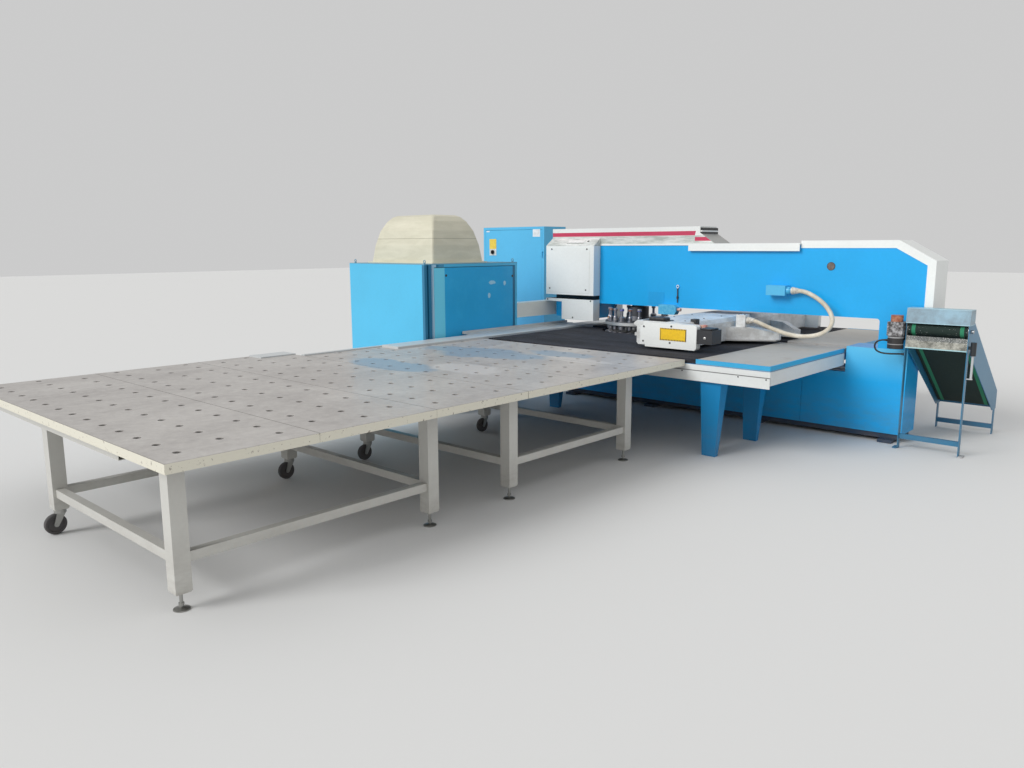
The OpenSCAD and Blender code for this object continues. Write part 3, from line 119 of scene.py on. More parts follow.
class Finish:
    # a material with its principled shader and a short way to add nodes
    def __init__(self, name, roughness=0.5, metallic=0.0, coat=0.0):
        self.material = bpy.data.materials.new(name)
        self.material.use_nodes = True
        self.tree = self.material.node_tree
        self.shader = self.tree.nodes["Principled BSDF"]
        self.shader.inputs["Roughness"].default_value = roughness
        self.shader.inputs["Metallic"].default_value = metallic
        self.shader.inputs["Coat Weight"].default_value = coat
        self.spot = None

    def node(self, kind, settings=None, inputs=None, output=0):
        made = self.tree.nodes.new(kind)
        for key, value in (settings or {}).items():
            setattr(made, key, value)
        for key, value in (inputs or {}).items():
            self.feed(made.inputs[key], value)
        return Wire(self, made.outputs[output])

    def feed(self, socket, value):
        if isinstance(value, Wire):
            self.tree.links.new(value.socket, socket)
        elif isinstance(value, tuple) and len(value) == 3 and len(socket.default_value) == 4:
            socket.default_value = (*value, 1.0)
        else:
            socket.default_value = value

    def set(self, name, value):
        self.feed(self.shader.inputs[name], value)

    def place(self):
        if self.spot is None:
            self.spot = self.node("ShaderNodeTexCoord", output=3)
        return self.spot

    def axes(self):
        parts = self.tree.nodes.new("ShaderNodeSeparateXYZ")
        self.feed(parts.inputs[0], self.place())
        return [Wire(self, parts.outputs[i]) for i in range(3)]

    def noise(self, scale, detail=3.0, roughness=0.5, stretch=None, distortion=0.0):
        vector = self.place()
        if stretch:
            vector = self.node("ShaderNodeMapping", {}, {"Vector": vector, "Scale": stretch})
        return self.node("ShaderNodeTexNoise", {"normalize": True},
                         {"Vector": vector, "Scale": scale, "Detail": detail,
                          "Roughness": roughness, "Distortion": distortion})

    def mix(self, factor, first, second):
        made = self.tree.nodes.new("ShaderNodeMix")
        made.data_type = "RGBA"
        made.clamp_factor = True
        self.feed(made.inputs[0], factor)
        self.feed(made.inputs[6], first)
        self.feed(made.inputs[7], second)
        return Wire(self, made.outputs[2])

    def between(self, factor, pair):
        # from the first to the second of two sRGB colours
        return self.mix(factor, srgb(*pair[0]), srgb(*pair[1]))

    def over(self, paint, mask, colour):
        # an sRGB colour over the paint where the mask is 1
        return self.mix(mask, paint, srgb(*colour))

    def bump(self, height, distance, strength):
        self.set("Normal", self.node("ShaderNodeBump", {},
                                     {"Height": height, "Distance": distance, "Strength": strength}))


def srgb(red, green, blue):
    return tuple((c / 255 / 12.92) if c < 10 else ((c / 255 + 0.055) / 1.055) ** 2.4
                 for c in (red, green, blue))


# finishes
sheetSettings = {
    "dust": (112, 100, 88),
    # the dust fades out over this height
    "dustReach": 0.5,
    "darkTone": 0.88,
    "peel": 0.0006,
}
metalSettings = {
    "grainScale": 30.0,
    "darkTone": 0.62,
    "grainDepth": 0.0006,
}


def paintedSheet(name, colour, roughness=0.38, coat=0.12, dirt=0.35, lowest=0.0, change=None):
    # sheet metal enamel: cloudy tone, fine peel, dust that gathers low down; change repaints by place
    setting = sheetSettings
    finish = Finish(name, roughness, coat=coat)
    cloud = finish.noise(1.3, 4.0)
    fine = finish.noise(36.0, 3.0, 0.6)
    x, y, z = finish.axes()
    dust = finish.noise(4.0, 6.0, 0.7, (1, 1, 3.0)).ramp(0.35, 0.75)
    low = (1.0 - (z - lowest) / setting["dustReach"]).clipped() * dust
    tone = tuple(c * setting["darkTone"] for c in colour)
    paint = finish.mix((cloud * 0.7 + fine * 0.3).ramp(0.3, 0.7), tone, colour)
    if change:
        paint = change(finish, paint, x, y, z)
    finish.set("Base Color", finish.over(paint, low * dirt, setting["dust"]))
    finish.set("Roughness", (fine * 0.18 + low * 0.25 + (roughness - 0.08)).clipped())
    finish.bump(finish.noise(420.0, 2.0) * 0.4 + fine * 0.6, setting["peel"], 0.5)
    return finish


def plainMetal(name, colour, roughness, stretch=(1, 1, 18), change=None):
    # bare metal with stretched grain and soft stains
    setting = metalSettings
    finish = Finish(name, roughness, 1.0)
    grain = finish.noise(setting["grainScale"], 5.0, 0.65, stretch)
    stain = finish.noise(3.0, 5.0, 0.6)
    shade = tuple(c * setting["darkTone"] for c in colour)
    paint = finish.mix(stain.ramp(0.3, 0.7) * 0.6 + grain * 0.4, shade, colour)
    if change:
        paint = change(finish, paint, *finish.axes())
    finish.set("Base Color", paint)
    finish.set("Roughness", (grain * 0.25 + stain * 0.12 + (roughness - 0.12)).clipped())
    finish.bump(grain, setting["grainDepth"], 0.6)
    return finish


def cloudyFinish(name, roughness, grain, span, pair, metallic=0.0):
    # one noise, spread over a span of its values, from the first to the second colour
    finish = Finish(name, roughness, metallic)
    finish.set("Base Color", finish.between(finish.noise(*grain).ramp(*span), pair))
    return finish


def spotMask(finish, axes, spots, scale):
    # ragged patches round points; each spot is a centre and a reach along the given axes
    total = None
    rag = finish.noise(scale, 4.0, 0.65) - 0.5
    for centre, reach in spots:
        away = sum((((axis - c) / r) * ((axis - c) / r) for axis, c, r in zip(axes, centre, reach)), 0.0)
        mask = (1.0 - away + rag * 1.6).ramp(0.2, 0.5)
        total = mask if total is None else total.most(mask)
    return total


# marks on the paint: places are metres from the press's origin, colours are sRGB from 0 to 255
skirtMarks = {
    "line": (0.841, 0.848),
    "softness": 0.0015,
    "frontFace": 2.0,
    "shadow": (26, 28, 30),
}


def skirtLine(finish, paint, x, y, z):
    # shadow line between the upper band and the proud lip
    marks = skirtMarks
    line = z.band(*marks["line"], marks["softness"]) * (abs(y) > marks["frontFace"])
    return finish.over(paint, line * 0.85, marks["shadow"])


hoodMarks = {
    "sideWall": 0.199,
    "greyBand": (2.072, 2.168),
    "greys": ((176, 184, 178), (226, 229, 226)),
    "crimsons": ((206, 62, 98), (190, 50, 86)),
    "upperStripe": (2.170, 2.222),
    "lowerStripe": (2.104, 2.150),
    "lowerStripeStart": 0.548,
    # the upper stripe ends on a slant through this point
    "slantLevel": 2.011,
    "slantPlace": 0.508,
    "slantLean": 0.25,
    # the sloped end face is painted a darker grey as painted shade
    "slopeStart": (0.625, 0.1985, 2.19),
    "slopeShadeGreys": ((150, 150, 146), (185, 186, 182)),
    "ventStart": (0.6185, 0.1945, 2.186),
    "ventStrip": (2.212, 2.228),
    "ventColours": ((22, 22, 24), (232, 234, 232)),
}


def hoodBands(finish, paint, x, y, z):
    # grey scuffed band, crimson stripe that steps down at the end, painted shade on the sloped end, black
    # exhaust on the end face
    marks = hoodMarks
    scuff = finish.noise(8.0, 6.0, 0.72, (0.5, 1, 3.0))
    grey = finish.between(scuff.ramp(0.36, 0.62), marks["greys"])
    crimson = finish.between(scuff.ramp(0.3, 0.8), marks["crimsons"])
    wall = abs(y) > marks["sideWall"]
    paint = finish.mix(z.band(*marks["greyBand"]) * wall, paint, grey)
    slant = (z - marks["slantLevel"]) * marks["slantLean"] + marks["slantPlace"]
    upper = z.band(*marks["upperStripe"]) * (x < slant)
    lower = z.band(*marks["lowerStripe"]) * (x > marks["lowerStripeStart"])
    paint = finish.mix((upper + lower).clipped() * wall, paint, crimson)
    # painted shade: a darker grey on the sloped end face
    fromX, toY, toZ = marks["slopeStart"]
    slope = (x > fromX) * (abs(y) < toY) * (z < toZ)
    paint = finish.mix(slope, paint, finish.between(scuff, marks["slopeShadeGreys"]))
    fromX, toY, fromZ = marks["ventStart"]
    vent = (x > fromX) * (abs(y) < toY) * (z > fromZ)
    return finish.mix(vent, paint, finish.between(z.band(*marks["ventStrip"]), marks["ventColours"]))


coverMarks = {
    "shoulderLevel": 2.045,
    "headEnd": -0.8,
    "shoulderGrey": (186, 192, 188),
    "graze": (190, 192, 188),
}


def coverScuffs(finish, paint, x, y, z):
    # grey scuffed shoulder of the head, small grazes elsewhere
    marks = coverMarks
    scuff = finish.noise(7.0, 6.0, 0.72, (0.6, 1, 2.4))
    shoulder = (z > marks["shoulderLevel"]) * (x < marks["headEnd"])
    paint = finish.over(paint, shoulder * scuff.ramp(0.35, 0.6), marks["shoulderGrey"])
    graze = finish.noise(55.0, 6.0, 0.8).ramp(0.68, 0.73)
    return finish.over(paint, graze * 0.35, marks["graze"])


deckMarks = {
    "taupes": ((168, 163, 159), (200, 196, 191)),
    # patches are (centre, reach) in X and Y
    "polished": [
        ((-0.35, -4.15), (0.75, 0.28)),
        ((-0.35, -2.95), (0.9, 0.42)),
        ((0.35, -2.5), (0.5, 0.22)),
    ],
    "polishedBlue": (134, 158, 178),
    "pale": [((0.32, -3.85), (0.5, 0.3)), ((0.75, -2.75), (0.5, 0.16))],
    "paleGrey": (208, 205, 202),
    # joints between trays: start of the row and tray length along Y
    "outerTrays": (-7.206, 0.952),
    "innerTrays": (-4.347, 0.778),
    "outerEnd": -4.349,
    "innerStart": -4.346,
    "jointHalfWidth": 0.0035,
    "jointBrown": (96, 90, 84),
    "edgeCreams": ((226, 222, 206), (128, 118, 106)),
    "edgeTop": 0.9375,
    "edgeX": 1.5285,
    "edgeY": -7.204,
    "underside": 0.9335,
    "undersideGrey": (110, 106, 102),
}


def trayJoint(y, start, length):
    # 1 on the joints of a row of trays
    return abs(((y - start) / length + 0.5) % 1.0 - 0.5) * length < deckMarks["jointHalfWidth"]


def deckWear(finish, paint, x, y, z):
    # polished patches, dark smears along the travel, cream edges with chipped paint
    marks = deckMarks
    streak = finish.noise(2.2, 6.0, 0.68, (1.0, 0.5, 1.0), 0.6)
    mottled = finish.noise(16.0, 5.0, 0.7)
    paint = finish.between((streak * 0.6 + mottled * 0.4).ramp(0.38, 0.66), marks["taupes"])
    polished = spotMask(finish, (x, y), marks["polished"], 2.6)
    paint = finish.over(paint, polished * 0.75, marks["polishedBlue"])
    pale = spotMask(finish, (x, y), marks["pale"], 3.1)
    paint = finish.over(paint, pale * 0.7, marks["paleGrey"])
    outer = trayJoint(y, *marks["outerTrays"]) * (y < marks["outerEnd"])
    inner = trayJoint(y, *marks["innerTrays"]) * (y > marks["innerStart"])
    paint = finish.over(paint, (outer + inner).clipped() * 0.75, marks["jointBrown"])
    chips = finish.noise(38.0, 6.0, 0.75)
    edge = finish.between(chips.ramp(0.60, 0.66), marks["edgeCreams"])
    side = (z < marks["edgeTop"]) * ((x > marks["edgeX"]).most(y < marks["edgeY"]))
    paint = finish.mix(side, paint, edge)
    under = (z < marks["underside"]) * (1.0 - side)
    return finish.over(paint, under, marks["undersideGrey"])


glideMarks = {
    "rust": (142, 108, 88),
    "spotRed": (160, 70, 52),
    "spotStart": 1.72,
    "spotReach": 0.25,
    "smear": (196, 192, 186),
}


def glideStains(finish, paint, x, y, z):
    # brown stains, red spots near both outer edges, pale smears
    marks = glideMarks
    rust = finish.noise(5.0, 7.0, 0.75, (1, 2.5, 1))
    paint = finish.over(paint, rust.ramp(0.56, 0.72) * 0.6, marks["rust"])
    near = ((abs(y) - marks["spotStart"]) / marks["spotReach"]).clipped()
    spots = finish.noise(26.0, 6.0, 0.8).ramp(0.6, 0.68)
    paint = finish.over(paint, near * spots * 0.7, marks["spotRed"])
    smear = finish.noise(3.0, 5.0, 0.6, (1, 8.0, 1)).ramp(0.5, 0.8)
    return finish.over(paint, smear * 0.4, marks["smear"])


tuftSlates = ((30, 31, 36), (68, 70, 80))


def tuftStreaks(finish, paint, x, y, z):
    # the brush is one streaked field, so the paint under it doesn't show
    streak = finish.noise(14.0, 6.0, 0.7, (0.35, 4.0, 1))
    wide = finish.noise(1.6, 4.0, 0.6, (0.4, 2.0, 1))
    return finish.between((streak * 0.6 + wide * 0.4).ramp(0.42, 0.68), tuftSlates)


discMarks = {
    "axis": -0.37,
    "rimRadius": 0.4285,
    "bevelRadius": 0.418,
    "bevelLevel": 1.0795,
    "brights": ((200, 200, 200), (236, 236, 235)),
}


def discRim(finish, paint, x, y, z):
    # bright turned band round the upper turret
    marks = discMarks
    away = ((x - marks["axis"]) * (x - marks["axis"]) + y * y) ** 0.5
    band = (away > marks["rimRadius"]).most((away > marks["bevelRadius"]) * (z > marks["bevelLevel"]))
    score = finish.noise(90.0, 3.0, 0.5, (1, 1, 14))
    return finish.mix(band, paint, finish.between(score, marks["brights"]))


panelMarks = {
    # worn spots are (centre, reach) in Y and Z
    "spots": [
        ((-1.434, 1.587), (0.075, 0.03)),
        ((-1.199, 1.573), (0.03, 0.035)),
        ((-1.49, 1.424), (0.028, 0.04)),
    ],
    "spotBlue": (196, 236, 250),
    "cloudBlue": (70, 204, 250),
    # the fold at the left takes a painted highlight, the rim painted shade
    "foldEnd": -2.262,
    "foldHighlightBlue": (120, 226, 255),
    "rimStart": -1.042,
    "rimLevel": 1.79,
    "rimShadeBlue": (24, 62, 84),
}


def panelScuffsAndPaintedLight(finish, paint, x, y, z):
    # pale worn spots, a painted highlight on the fold at the left, painted shade on the rim at the right and
    # the top
    marks = panelMarks
    pale = spotMask(finish, (y, z), marks["spots"], 40.0)
    paint = finish.over(paint, pale * 0.8, marks["spotBlue"])
    cloud = finish.noise(3.5, 6.0, 0.7).ramp(0.5, 0.75)
    paint = finish.over(paint, cloud * 0.35, marks["cloudBlue"])
    # painted highlight: the fold at the left is painted a lighter blue
    paint = finish.over(paint, y < marks["foldEnd"], marks["foldHighlightBlue"])
    # painted shade: the rim at the right and the top is painted a darker blue
    rim = (y > marks["rimStart"]).most(z > marks["rimLevel"])
    return finish.over(paint, rim * 0.7, marks["rimShadeBlue"])


cornerMarks = {
    "graze": (60, 150, 190),
    "postX": -1.702,
    "postY": -2.27,
    "postTop": 1.83,
    # the corner post is painted in shaded blues, with a painted highlight band along one fold
    "brightFold": (-2.475, -2.4),
    "brightSoftness": 0.004,
    "postShadeAndHighlightBlues": ((38, 120, 158), (176, 214, 236)),
    "innerFoldStart": -2.36,
    "innerFold": (70, 150, 190),
    "lidEdge": 1.832,
    "lidGrey": (112, 140, 152),
}


def cabinetMarks(finish, paint, x, y, z):
    # grazes on the front, painted shade and a painted highlight on the folds of the corner post, grey edge of
    # the lid
    marks = cornerMarks
    graze = finish.noise(18.0, 7.0, 0.8, (1, 1, 0.6)).ramp(0.66, 0.72)
    paint = finish.over(paint, graze * 0.5, marks["graze"])
    # painted shade on the corner post, with a painted highlight along one fold
    post = (x > marks["postX"]) * (y < marks["postY"]) * (z < marks["postTop"])
    bright = y.band(*marks["brightFold"], marks["brightSoftness"])
    fold = finish.between(bright, marks["postShadeAndHighlightBlues"])
    fold = finish.over(fold, y > marks["innerFoldStart"], marks["innerFold"])
    paint = finish.mix(post, paint, fold)
    return finish.over(paint, (z > marks["lidEdge"]) * 0.75, marks["lidGrey"])


shellMarks = {
    "sheen": (236, 232, 212),
    "seam": (2.141, 2.147),
    "seamBrown": (122, 116, 92),
    "flangeTop": 1.856,
    "flange": (232, 226, 200),
    "graze": (140, 134, 110),
}


def shellSeam(finish, paint, x, y, z):
    # a moulded shell: seam, sheen bands and a pale flange
    marks = shellMarks
    wave = finish.noise(1.8, 4.0, 0.6, (1, 1, 5.0), 0.8)
    paint = finish.over(paint, wave.ramp(0.42, 0.7) * 0.5, marks["sheen"])
    paint = finish.over(paint, z.band(*marks["seam"]) * 0.6, marks["seamBrown"])
    paint = finish.over(paint, (z < marks["flangeTop"]) * 0.7, marks["flange"])
    graze = finish.noise(30.0, 6.0, 0.8).ramp(0.68, 0.74)
    return finish.over(paint, graze * 0.4, marks["graze"])


motorMarks = {
    "gearboxLevel": 1.15,
    "silvers": ((60, 56, 56), (182, 182, 184)),
    "capLevel": 1.292,
    "rusts": ((150, 84, 58), (196, 142, 112)),
    "upperBand": (1.128, 1.142),
    "lowerBand": (1.062, 1.07),
    "bandGrey": (170, 170, 172),
}


def motorParts(finish, paint, x, y, z):
    # rust-red fan cap, bare gearbox, dark motor with bright bands
    marks = motorMarks
    bare = finish.noise(24.0, 5.0, 0.7)
    silver = finish.between(bare.ramp(0.42, 0.62), marks["silvers"])
    cap = finish.between(bare.ramp(0.4, 0.7), marks["rusts"])
    paint = finish.mix(z > marks["gearboxLevel"], paint, silver)
    paint = finish.mix(z > marks["capLevel"], paint, cap)
    bands = z.band(*marks["upperBand"]).most(z.band(*marks["lowerBand"]))
    return finish.over(paint, bands * 0.8, marks["bandGrey"])


chuteMarks = {
    "steels": ((118, 138, 150), (142, 178, 196)),
    "lowerEdge": (1.284, 1.292),
    "upperEdge": 1.4285,
    "edgeHighlightCyan": (172, 214, 226),
}


def chuteSteel(finish, paint, x, y, z):
    # cloudy blue-grey sheet; the lip and the top edge carry a painted highlight in pale cyan
    marks = chuteMarks
    cloud = finish.noise(4.0, 6.0, 0.7, (1, 0.6, 1))
    paint = finish.between(cloud.ramp(0.4, 0.66), marks["steels"])
    # painted highlight on the lip and the top edge
    edges = z.band(*marks["lowerEdge"]).most(z > marks["upperEdge"])
    return finish.over(paint, edges * 0.6, marks["edgeHighlightCyan"])


beamMarks = {
    "greys": ((196, 196, 194), (238, 240, 240)),
    "spot": (190, 150, 144),
}


def beamWear(finish, paint, x, y, z):
    # greyed paint with small reddish spots
    marks = beamMarks
    worn = finish.noise(5.0, 6.0, 0.75, (1, 0.5, 1))
    paint = finish.between(worn.ramp(0.36, 0.6), marks["greys"])
    spots = finish.noise(30.0, 6.0, 0.8).ramp(0.68, 0.74)
    return finish.over(paint, spots * 0.5, marks["spot"])


armMarks = {
    "cloud": (20, 182, 250),
    # painted light: the base fades to a lighter blue towards its top, out of the table's shade
    "baseTop": 0.985,
    "baseWall": 0.19,
    "baseFade": (0.62, 0.98),
    "baseLitBlue": (110, 205, 240),
    "graze": (120, 200, 235),
    "coverGapEnd": -0.86,
    "coverGap": (1.3, 1.5),
    "gapShadowBlack": (8, 10, 14),
}


def frameMarks(finish, paint, x, y, z):
    # cloudy cleaning marks, a base painted lighter towards its top as painted light, and painted shadow in
    # the gap between the head covers
    marks = armMarks
    cloud = finish.noise(2.4, 6.0, 0.7)
    paint = finish.over(paint, cloud.ramp(0.56, 0.74) * 0.4, marks["cloud"])
    # painted light: the base's side faces grow lighter towards its top
    base = (z < marks["baseTop"]) * (abs(y) > marks["baseWall"])
    paint = finish.over(paint, base * z.ramp(*marks["baseFade"]) * 0.75, marks["baseLitBlue"])
    graze = finish.noise(22.0, 7.0, 0.8).ramp(0.70, 0.75)
    paint = finish.over(paint, graze * 0.4, marks["graze"])
    # painted shadow: black on the frame in the gap between the head covers
    gap = (x < marks["coverGapEnd"]) * z.band(*marks["coverGap"])
    return finish.over(paint, gap, marks["gapShadowBlack"])


fittingMarks = {
    "plugStart": (2.1, 1.7),
    "plugCentre": (2.21, 1.825),
    "plugFaceRadius": 0.039,
    "plugBrowns": ((96, 82, 74), (132, 122, 114)),
    "plugRing": (52, 60, 66),
    "lubricatorTop": 1.3265,
    "armFace": -0.2,
    "lubricatorStart": 0.11,
    "lubricatorBlues": ((70, 178, 226), (110, 202, 238)),
    "glassStart": 0.3665,
    "glass": (214, 178, 168),
    "hookX": (0.31, 0.37),
    "hookFoot": 1.345,
    "hookTop": 1.527,
    "hookBrowns": ((40, 34, 32), (92, 70, 58)),
    "ringWhite": (240, 240, 236),
}


def fittingParts(finish, paint, x, y, z):
    # grey-brown plug, pale lubricator with its glass, dark hook on a white ring
    marks = fittingMarks
    grime = finish.noise(40.0, 4.0, 0.7)
    soil = grime.ramp(0.4, 0.7)
    startX, startZ = marks["plugStart"]
    centreX, centreZ = marks["plugCentre"]
    away = ((x - centreX) * (x - centreX) + (z - centreZ) * (z - centreZ)) ** 0.5
    disc = finish.between(soil, marks["plugBrowns"])
    disc = finish.over(disc, away > marks["plugFaceRadius"], marks["plugRing"])
    paint = finish.mix((x > startX) * (z > startZ), paint, disc)
    low = (z < marks["lubricatorTop"]) * (y < marks["armFace"])
    pale = finish.between(soil, marks["lubricatorBlues"])
    paint = finish.mix(low * (x > marks["lubricatorStart"]), paint, pale)
    paint = finish.over(paint, low * (x > marks["glassStart"]), marks["glass"])
    hook = x.band(*marks["hookX"]) * (z > marks["hookFoot"])
    rod = finish.between(grime, marks["hookBrowns"])
    metal = finish.over(rod, z > marks["hookTop"], marks["ringWhite"])
    return finish.mix(hook, paint, metal)


beltMarks = {
    "frontEnd": -0.2,
    "chipGrey": (190, 190, 188),
    "middle": 3.356,
    "guides": (0.2, 0.235),
    "guideGreen": (44, 132, 96),
}


def beltCleats(finish, paint, x, y, z):
    # metal chips on the belt's front end, green guides along both edges
    marks = beltMarks
    chips = finish.noise(70.0, 3.0, 0.6)
    paint = finish.over(paint, (chips > 0.68) * (y < marks["frontEnd"]), marks["chipGrey"])
    away = abs(x - marks["middle"])
    inner, outer = marks["guides"]
    return finish.over(paint, (away > inner) * (away < outer), marks["guideGreen"])


troughMarks = {
    "foot": 1.03,
    "frontEnd": -0.3,
    "across": (3.078, 3.632),
    "greys": ((112, 112, 104), (198, 197, 186)),
    "innerLevel": 1.115,
    "innerGrey": (84, 90, 92),
    "lipLevel": 1.046,
    "lipCyan": (176, 222, 230),
    "slugLevel": 1.11,
    "slugWhite": (238, 238, 236),
    "strutStart": 3.6385,
    "strutJoint": 1.0,
    "strutColours": ((40, 44, 48), (190, 192, 194)),
}


def frontTrough(finish, paint, x, y, z):
    # worn grey trough with slugs and dust, dark strut with a bright rod
    marks = troughMarks
    left, right = marks["across"]
    trough = (z > marks["foot"]) * (y < marks["frontEnd"]) * (x > left) * (x < right)
    worn = finish.noise(14.0, 6.0, 0.75)
    paint = finish.mix(trough, paint, finish.between(worn.ramp(0.4, 0.64), marks["greys"]))
    paint = finish.over(paint, trough * (z > marks["innerLevel"]) * 0.7, marks["innerGrey"])
    paint = finish.over(paint, trough * (z < marks["lipLevel"]) * 0.8, marks["lipCyan"])
    slugs = finish.noise(130.0, 2.0, 0.5).ramp(0.60, 0.64) * (z > marks["slugLevel"])
    paint = finish.over(paint, trough * slugs, marks["slugWhite"])
    strut = finish.between(z < marks["strutJoint"], marks["strutColours"])
    return finish.mix(x > marks["strutStart"], paint, strut)


finishes = {
    "frame_blue": paintedSheet("frameEnamel", srgb(0, 176, 246), lowest=0.1, change=frameMarks),
    "plinth_blue": paintedSheet("plinthEnamel", srgb(30, 62, 92), roughness=0.55, dirt=0.7),
    "cover_white": paintedSheet("coverEnamel", srgb(246, 249, 247), roughness=0.35, dirt=0.2, lowest=0.7,
                                change=coverScuffs),
    "cylinder_grey": paintedSheet("cylinderEnamel", (0.2, 0.22, 0.24)),
    "ram_chrome": plainMetal("ramChrome", (0.8, 0.8, 0.82), 0.12),
    "turret_steel": plainMetal("turretSteel", (0.14, 0.145, 0.16), 0.42, change=discRim),
    "tool_steel": plainMetal("toolSteel", (0.46, 0.46, 0.5), 0.3),
    "die_steel": plainMetal("dieSteel", (0.36, 0.37, 0.39), 0.38),
    "brush_black": paintedSheet("brushTufts", srgb(44, 45, 52), roughness=0.92, coat=0.0, dirt=0.0,
                                change=tuftStreaks),
    "glide_grey": paintedSheet("glideSheet", srgb(196, 192, 184), roughness=0.5, dirt=0.0,
                               change=glideStains),
    "trim_blue": paintedSheet("trimEnamel", srgb(60, 178, 230), dirt=0.0),
    "leg_blue": paintedSheet("legEnamel", srgb(4, 132, 190), dirt=0.3),
    "rail_steel": plainMetal("railSteel", (0.55, 0.56, 0.57), 0.3, (18, 1, 1)),
    "saddle_grey": paintedSheet("saddleEnamel", srgb(186, 186, 184), roughness=0.5),
    "beam_grey": paintedSheet("beamEnamel", srgb(232, 234, 234), roughness=0.45, change=beamWear),
    "servo_black": paintedSheet("servoEnamel", srgb(46, 48, 52), roughness=0.45, dirt=0.0),
    "hose_cream": paintedSheet("hosePlastic", srgb(226, 218, 202), roughness=0.5, coat=0.0, dirt=0.0),
    "cabinet_blue": paintedSheet("cabinetEnamel", srgb(88, 192, 238), roughness=0.42),
    "panel_blue": paintedSheet("panelEnamel", srgb(38, 182, 242), roughness=0.5, change=panelScuffsAndPaintedLight),
    "carriage_black": paintedSheet("carriageEnamel", srgb(48, 48, 52), roughness=0.45),
    "deck_grey": paintedSheet("deckEnamel", srgb(176, 169, 163), roughness=0.42, coat=0.05, dirt=0.0,
                              change=deckWear),
    "strip_grey": paintedSheet("stripAluminium", srgb(206, 210, 211), roughness=0.4, dirt=0.0),
    "stand_white": paintedSheet("standEnamel", srgb(208, 207, 201), dirt=0.5),
    "zinc": plainMetal("zincPlate", (0.5, 0.5, 0.48), 0.35),
    "wheel_grey": paintedSheet("wheelTread", (0.08, 0.08, 0.085), roughness=0.7, coat=0.0),
    "unit_grey": paintedSheet("unitEnamel", (0.15, 0.22, 0.26)),
    "hood_beige": paintedSheet("shellPlastic", srgb(216, 212, 190), roughness=0.4, dirt=0.0,
                               change=shellSeam),
    "switch_black": paintedSheet("switchPlastic", srgb(26, 26, 28), roughness=0.35, dirt=0.0),
    "duct_grey": paintedSheet("ductEnamel", srgb(240, 241, 234), dirt=0.0),
    "conveyor_blue": paintedSheet("conveyorEnamel", srgb(48, 122, 160), change=frontTrough),
    "hood_steel": paintedSheet("chuteEnamel", srgb(128, 156, 170), dirt=0.0, change=chuteSteel),
    "belt_green": paintedSheet("beltRubber", srgb(24, 44, 38), roughness=0.8, coat=0.0, change=beltCleats),
    "cable_black": paintedSheet("cableSheath", (0.02, 0.02, 0.02), roughness=0.6, coat=0.0),
}

# nodes whose finish differs from the rest of their slot
ownFinishes = {
    "hydraulic_cabinet": paintedSheet("hydraulicEnamel", srgb(84, 198, 242), roughness=0.42,
                                      change=cabinetMarks),
    "top_hood": paintedSheet("hoodEnamel", srgb(240, 242, 240), dirt=0.0, change=hoodBands),
    "table_skirts": paintedSheet("skirtEnamel", srgb(236, 239, 238), dirt=0.1, lowest=0.7,
                                 change=skirtLine),
    "arm_fittings": paintedSheet("fittingEnamel", srgb(0, 168, 238), dirt=0.0, change=fittingParts),
    "gear_motor": paintedSheet("motorEnamel", srgb(48, 46, 46), roughness=0.42, dirt=0.0,
                               change=motorParts),
}
print("finishes made")

slotOf = {part["node"]: part["material_slot"] for part in frame["record"]["subparts"]}
for name, thing in nodes.items():
    thing.data.materials.clear()
    thing.data.materials.append(ownFinishes.get(name, finishes[slotOf[name]]).material)
print("finishes laid on the frame")


# mesh helpers
sharpAngle = math.radians(35)


def addPiece(name, mesh, finish, body, slot=None, smooth=True, bevel=0.0):
    # a bmesh becomes an object; it rides on a body where one is given
    data = bpy.data.meshes.new(name)
    bmesh.ops.remove_doubles(mesh, verts=mesh.verts, dist=0.00001)
    bmesh.ops.recalc_face_normals(mesh, faces=mesh.faces)
    mesh.to_mesh(data)
    mesh.free()
    piece = bpy.data.objects.new(name, data)
    bpy.context.scene.collection.objects.link(piece)
    data.materials.append(finish.material)
    if smooth:
        for face in data.polygons:
            face.use_smooth = True
        data.set_sharp_from_angle(angle=sharpAngle)
    if bevel:
        edge = piece.modifiers.new("edge", "BEVEL")
        edge.width = bevel
        edge.segments = 2
        edge.limit_method = "ANGLE"
    if body:
        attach(piece, body)
    return piece


def addBox(mesh, low, high):
    corners = [mesh.verts.new((x, y, z)) for x in (low[0], high[0]) for y in (low[1], high[1])
               for z in (low[2], high[2])]
    for ring in ((0, 1, 3, 2), (4, 6, 7, 5), (0, 4, 5, 1), (2, 3, 7, 6), (0, 2, 6, 4), (1, 5, 7, 3)):
        mesh.faces.new([corners[i] for i in ring])


def addBoxes(name, boxes, finish, body, slot, **rest):
    mesh = bmesh.new()
    for low, high in boxes:
        addBox(mesh, low, high)
    addPiece(name, mesh, finish, body, slot, **rest)


def addLathe(mesh, base, axis, profile, sides):
    # profile is (distance along the axis, radius) from one end to the other
    axis = Vector(axis).normalized()
    across = axis.orthogonal().normalized()
    other = axis.cross(across)
    rings = []
    for reach, radius in profile:
        centre = Vector(base) + axis * reach
        if radius <= 0:
            rings.append([mesh.verts.new(centre)])
            continue
        rings.append([mesh.verts.new(centre + radius * (math.cos(t) * across + math.sin(t) * other))
                      for t in (2 * math.pi * k / sides for k in range(sides))])
    for lower, upper in zip(rings, rings[1:]):
        for k in range(sides):
            j = (k + 1) % sides
            if len(lower) == 1:
                mesh.faces.new((lower[0], upper[k], upper[j]))
            elif len(upper) == 1:
                mesh.faces.new((lower[k], lower[j], upper[0]))
            else:
                mesh.faces.new((lower[k], lower[j], upper[j], upper[k]))
    for ring, flip in ((rings[0], True), (rings[-1], False)):
        if len(ring) > 1:
            mesh.faces.new(ring[::-1] if flip else ring)


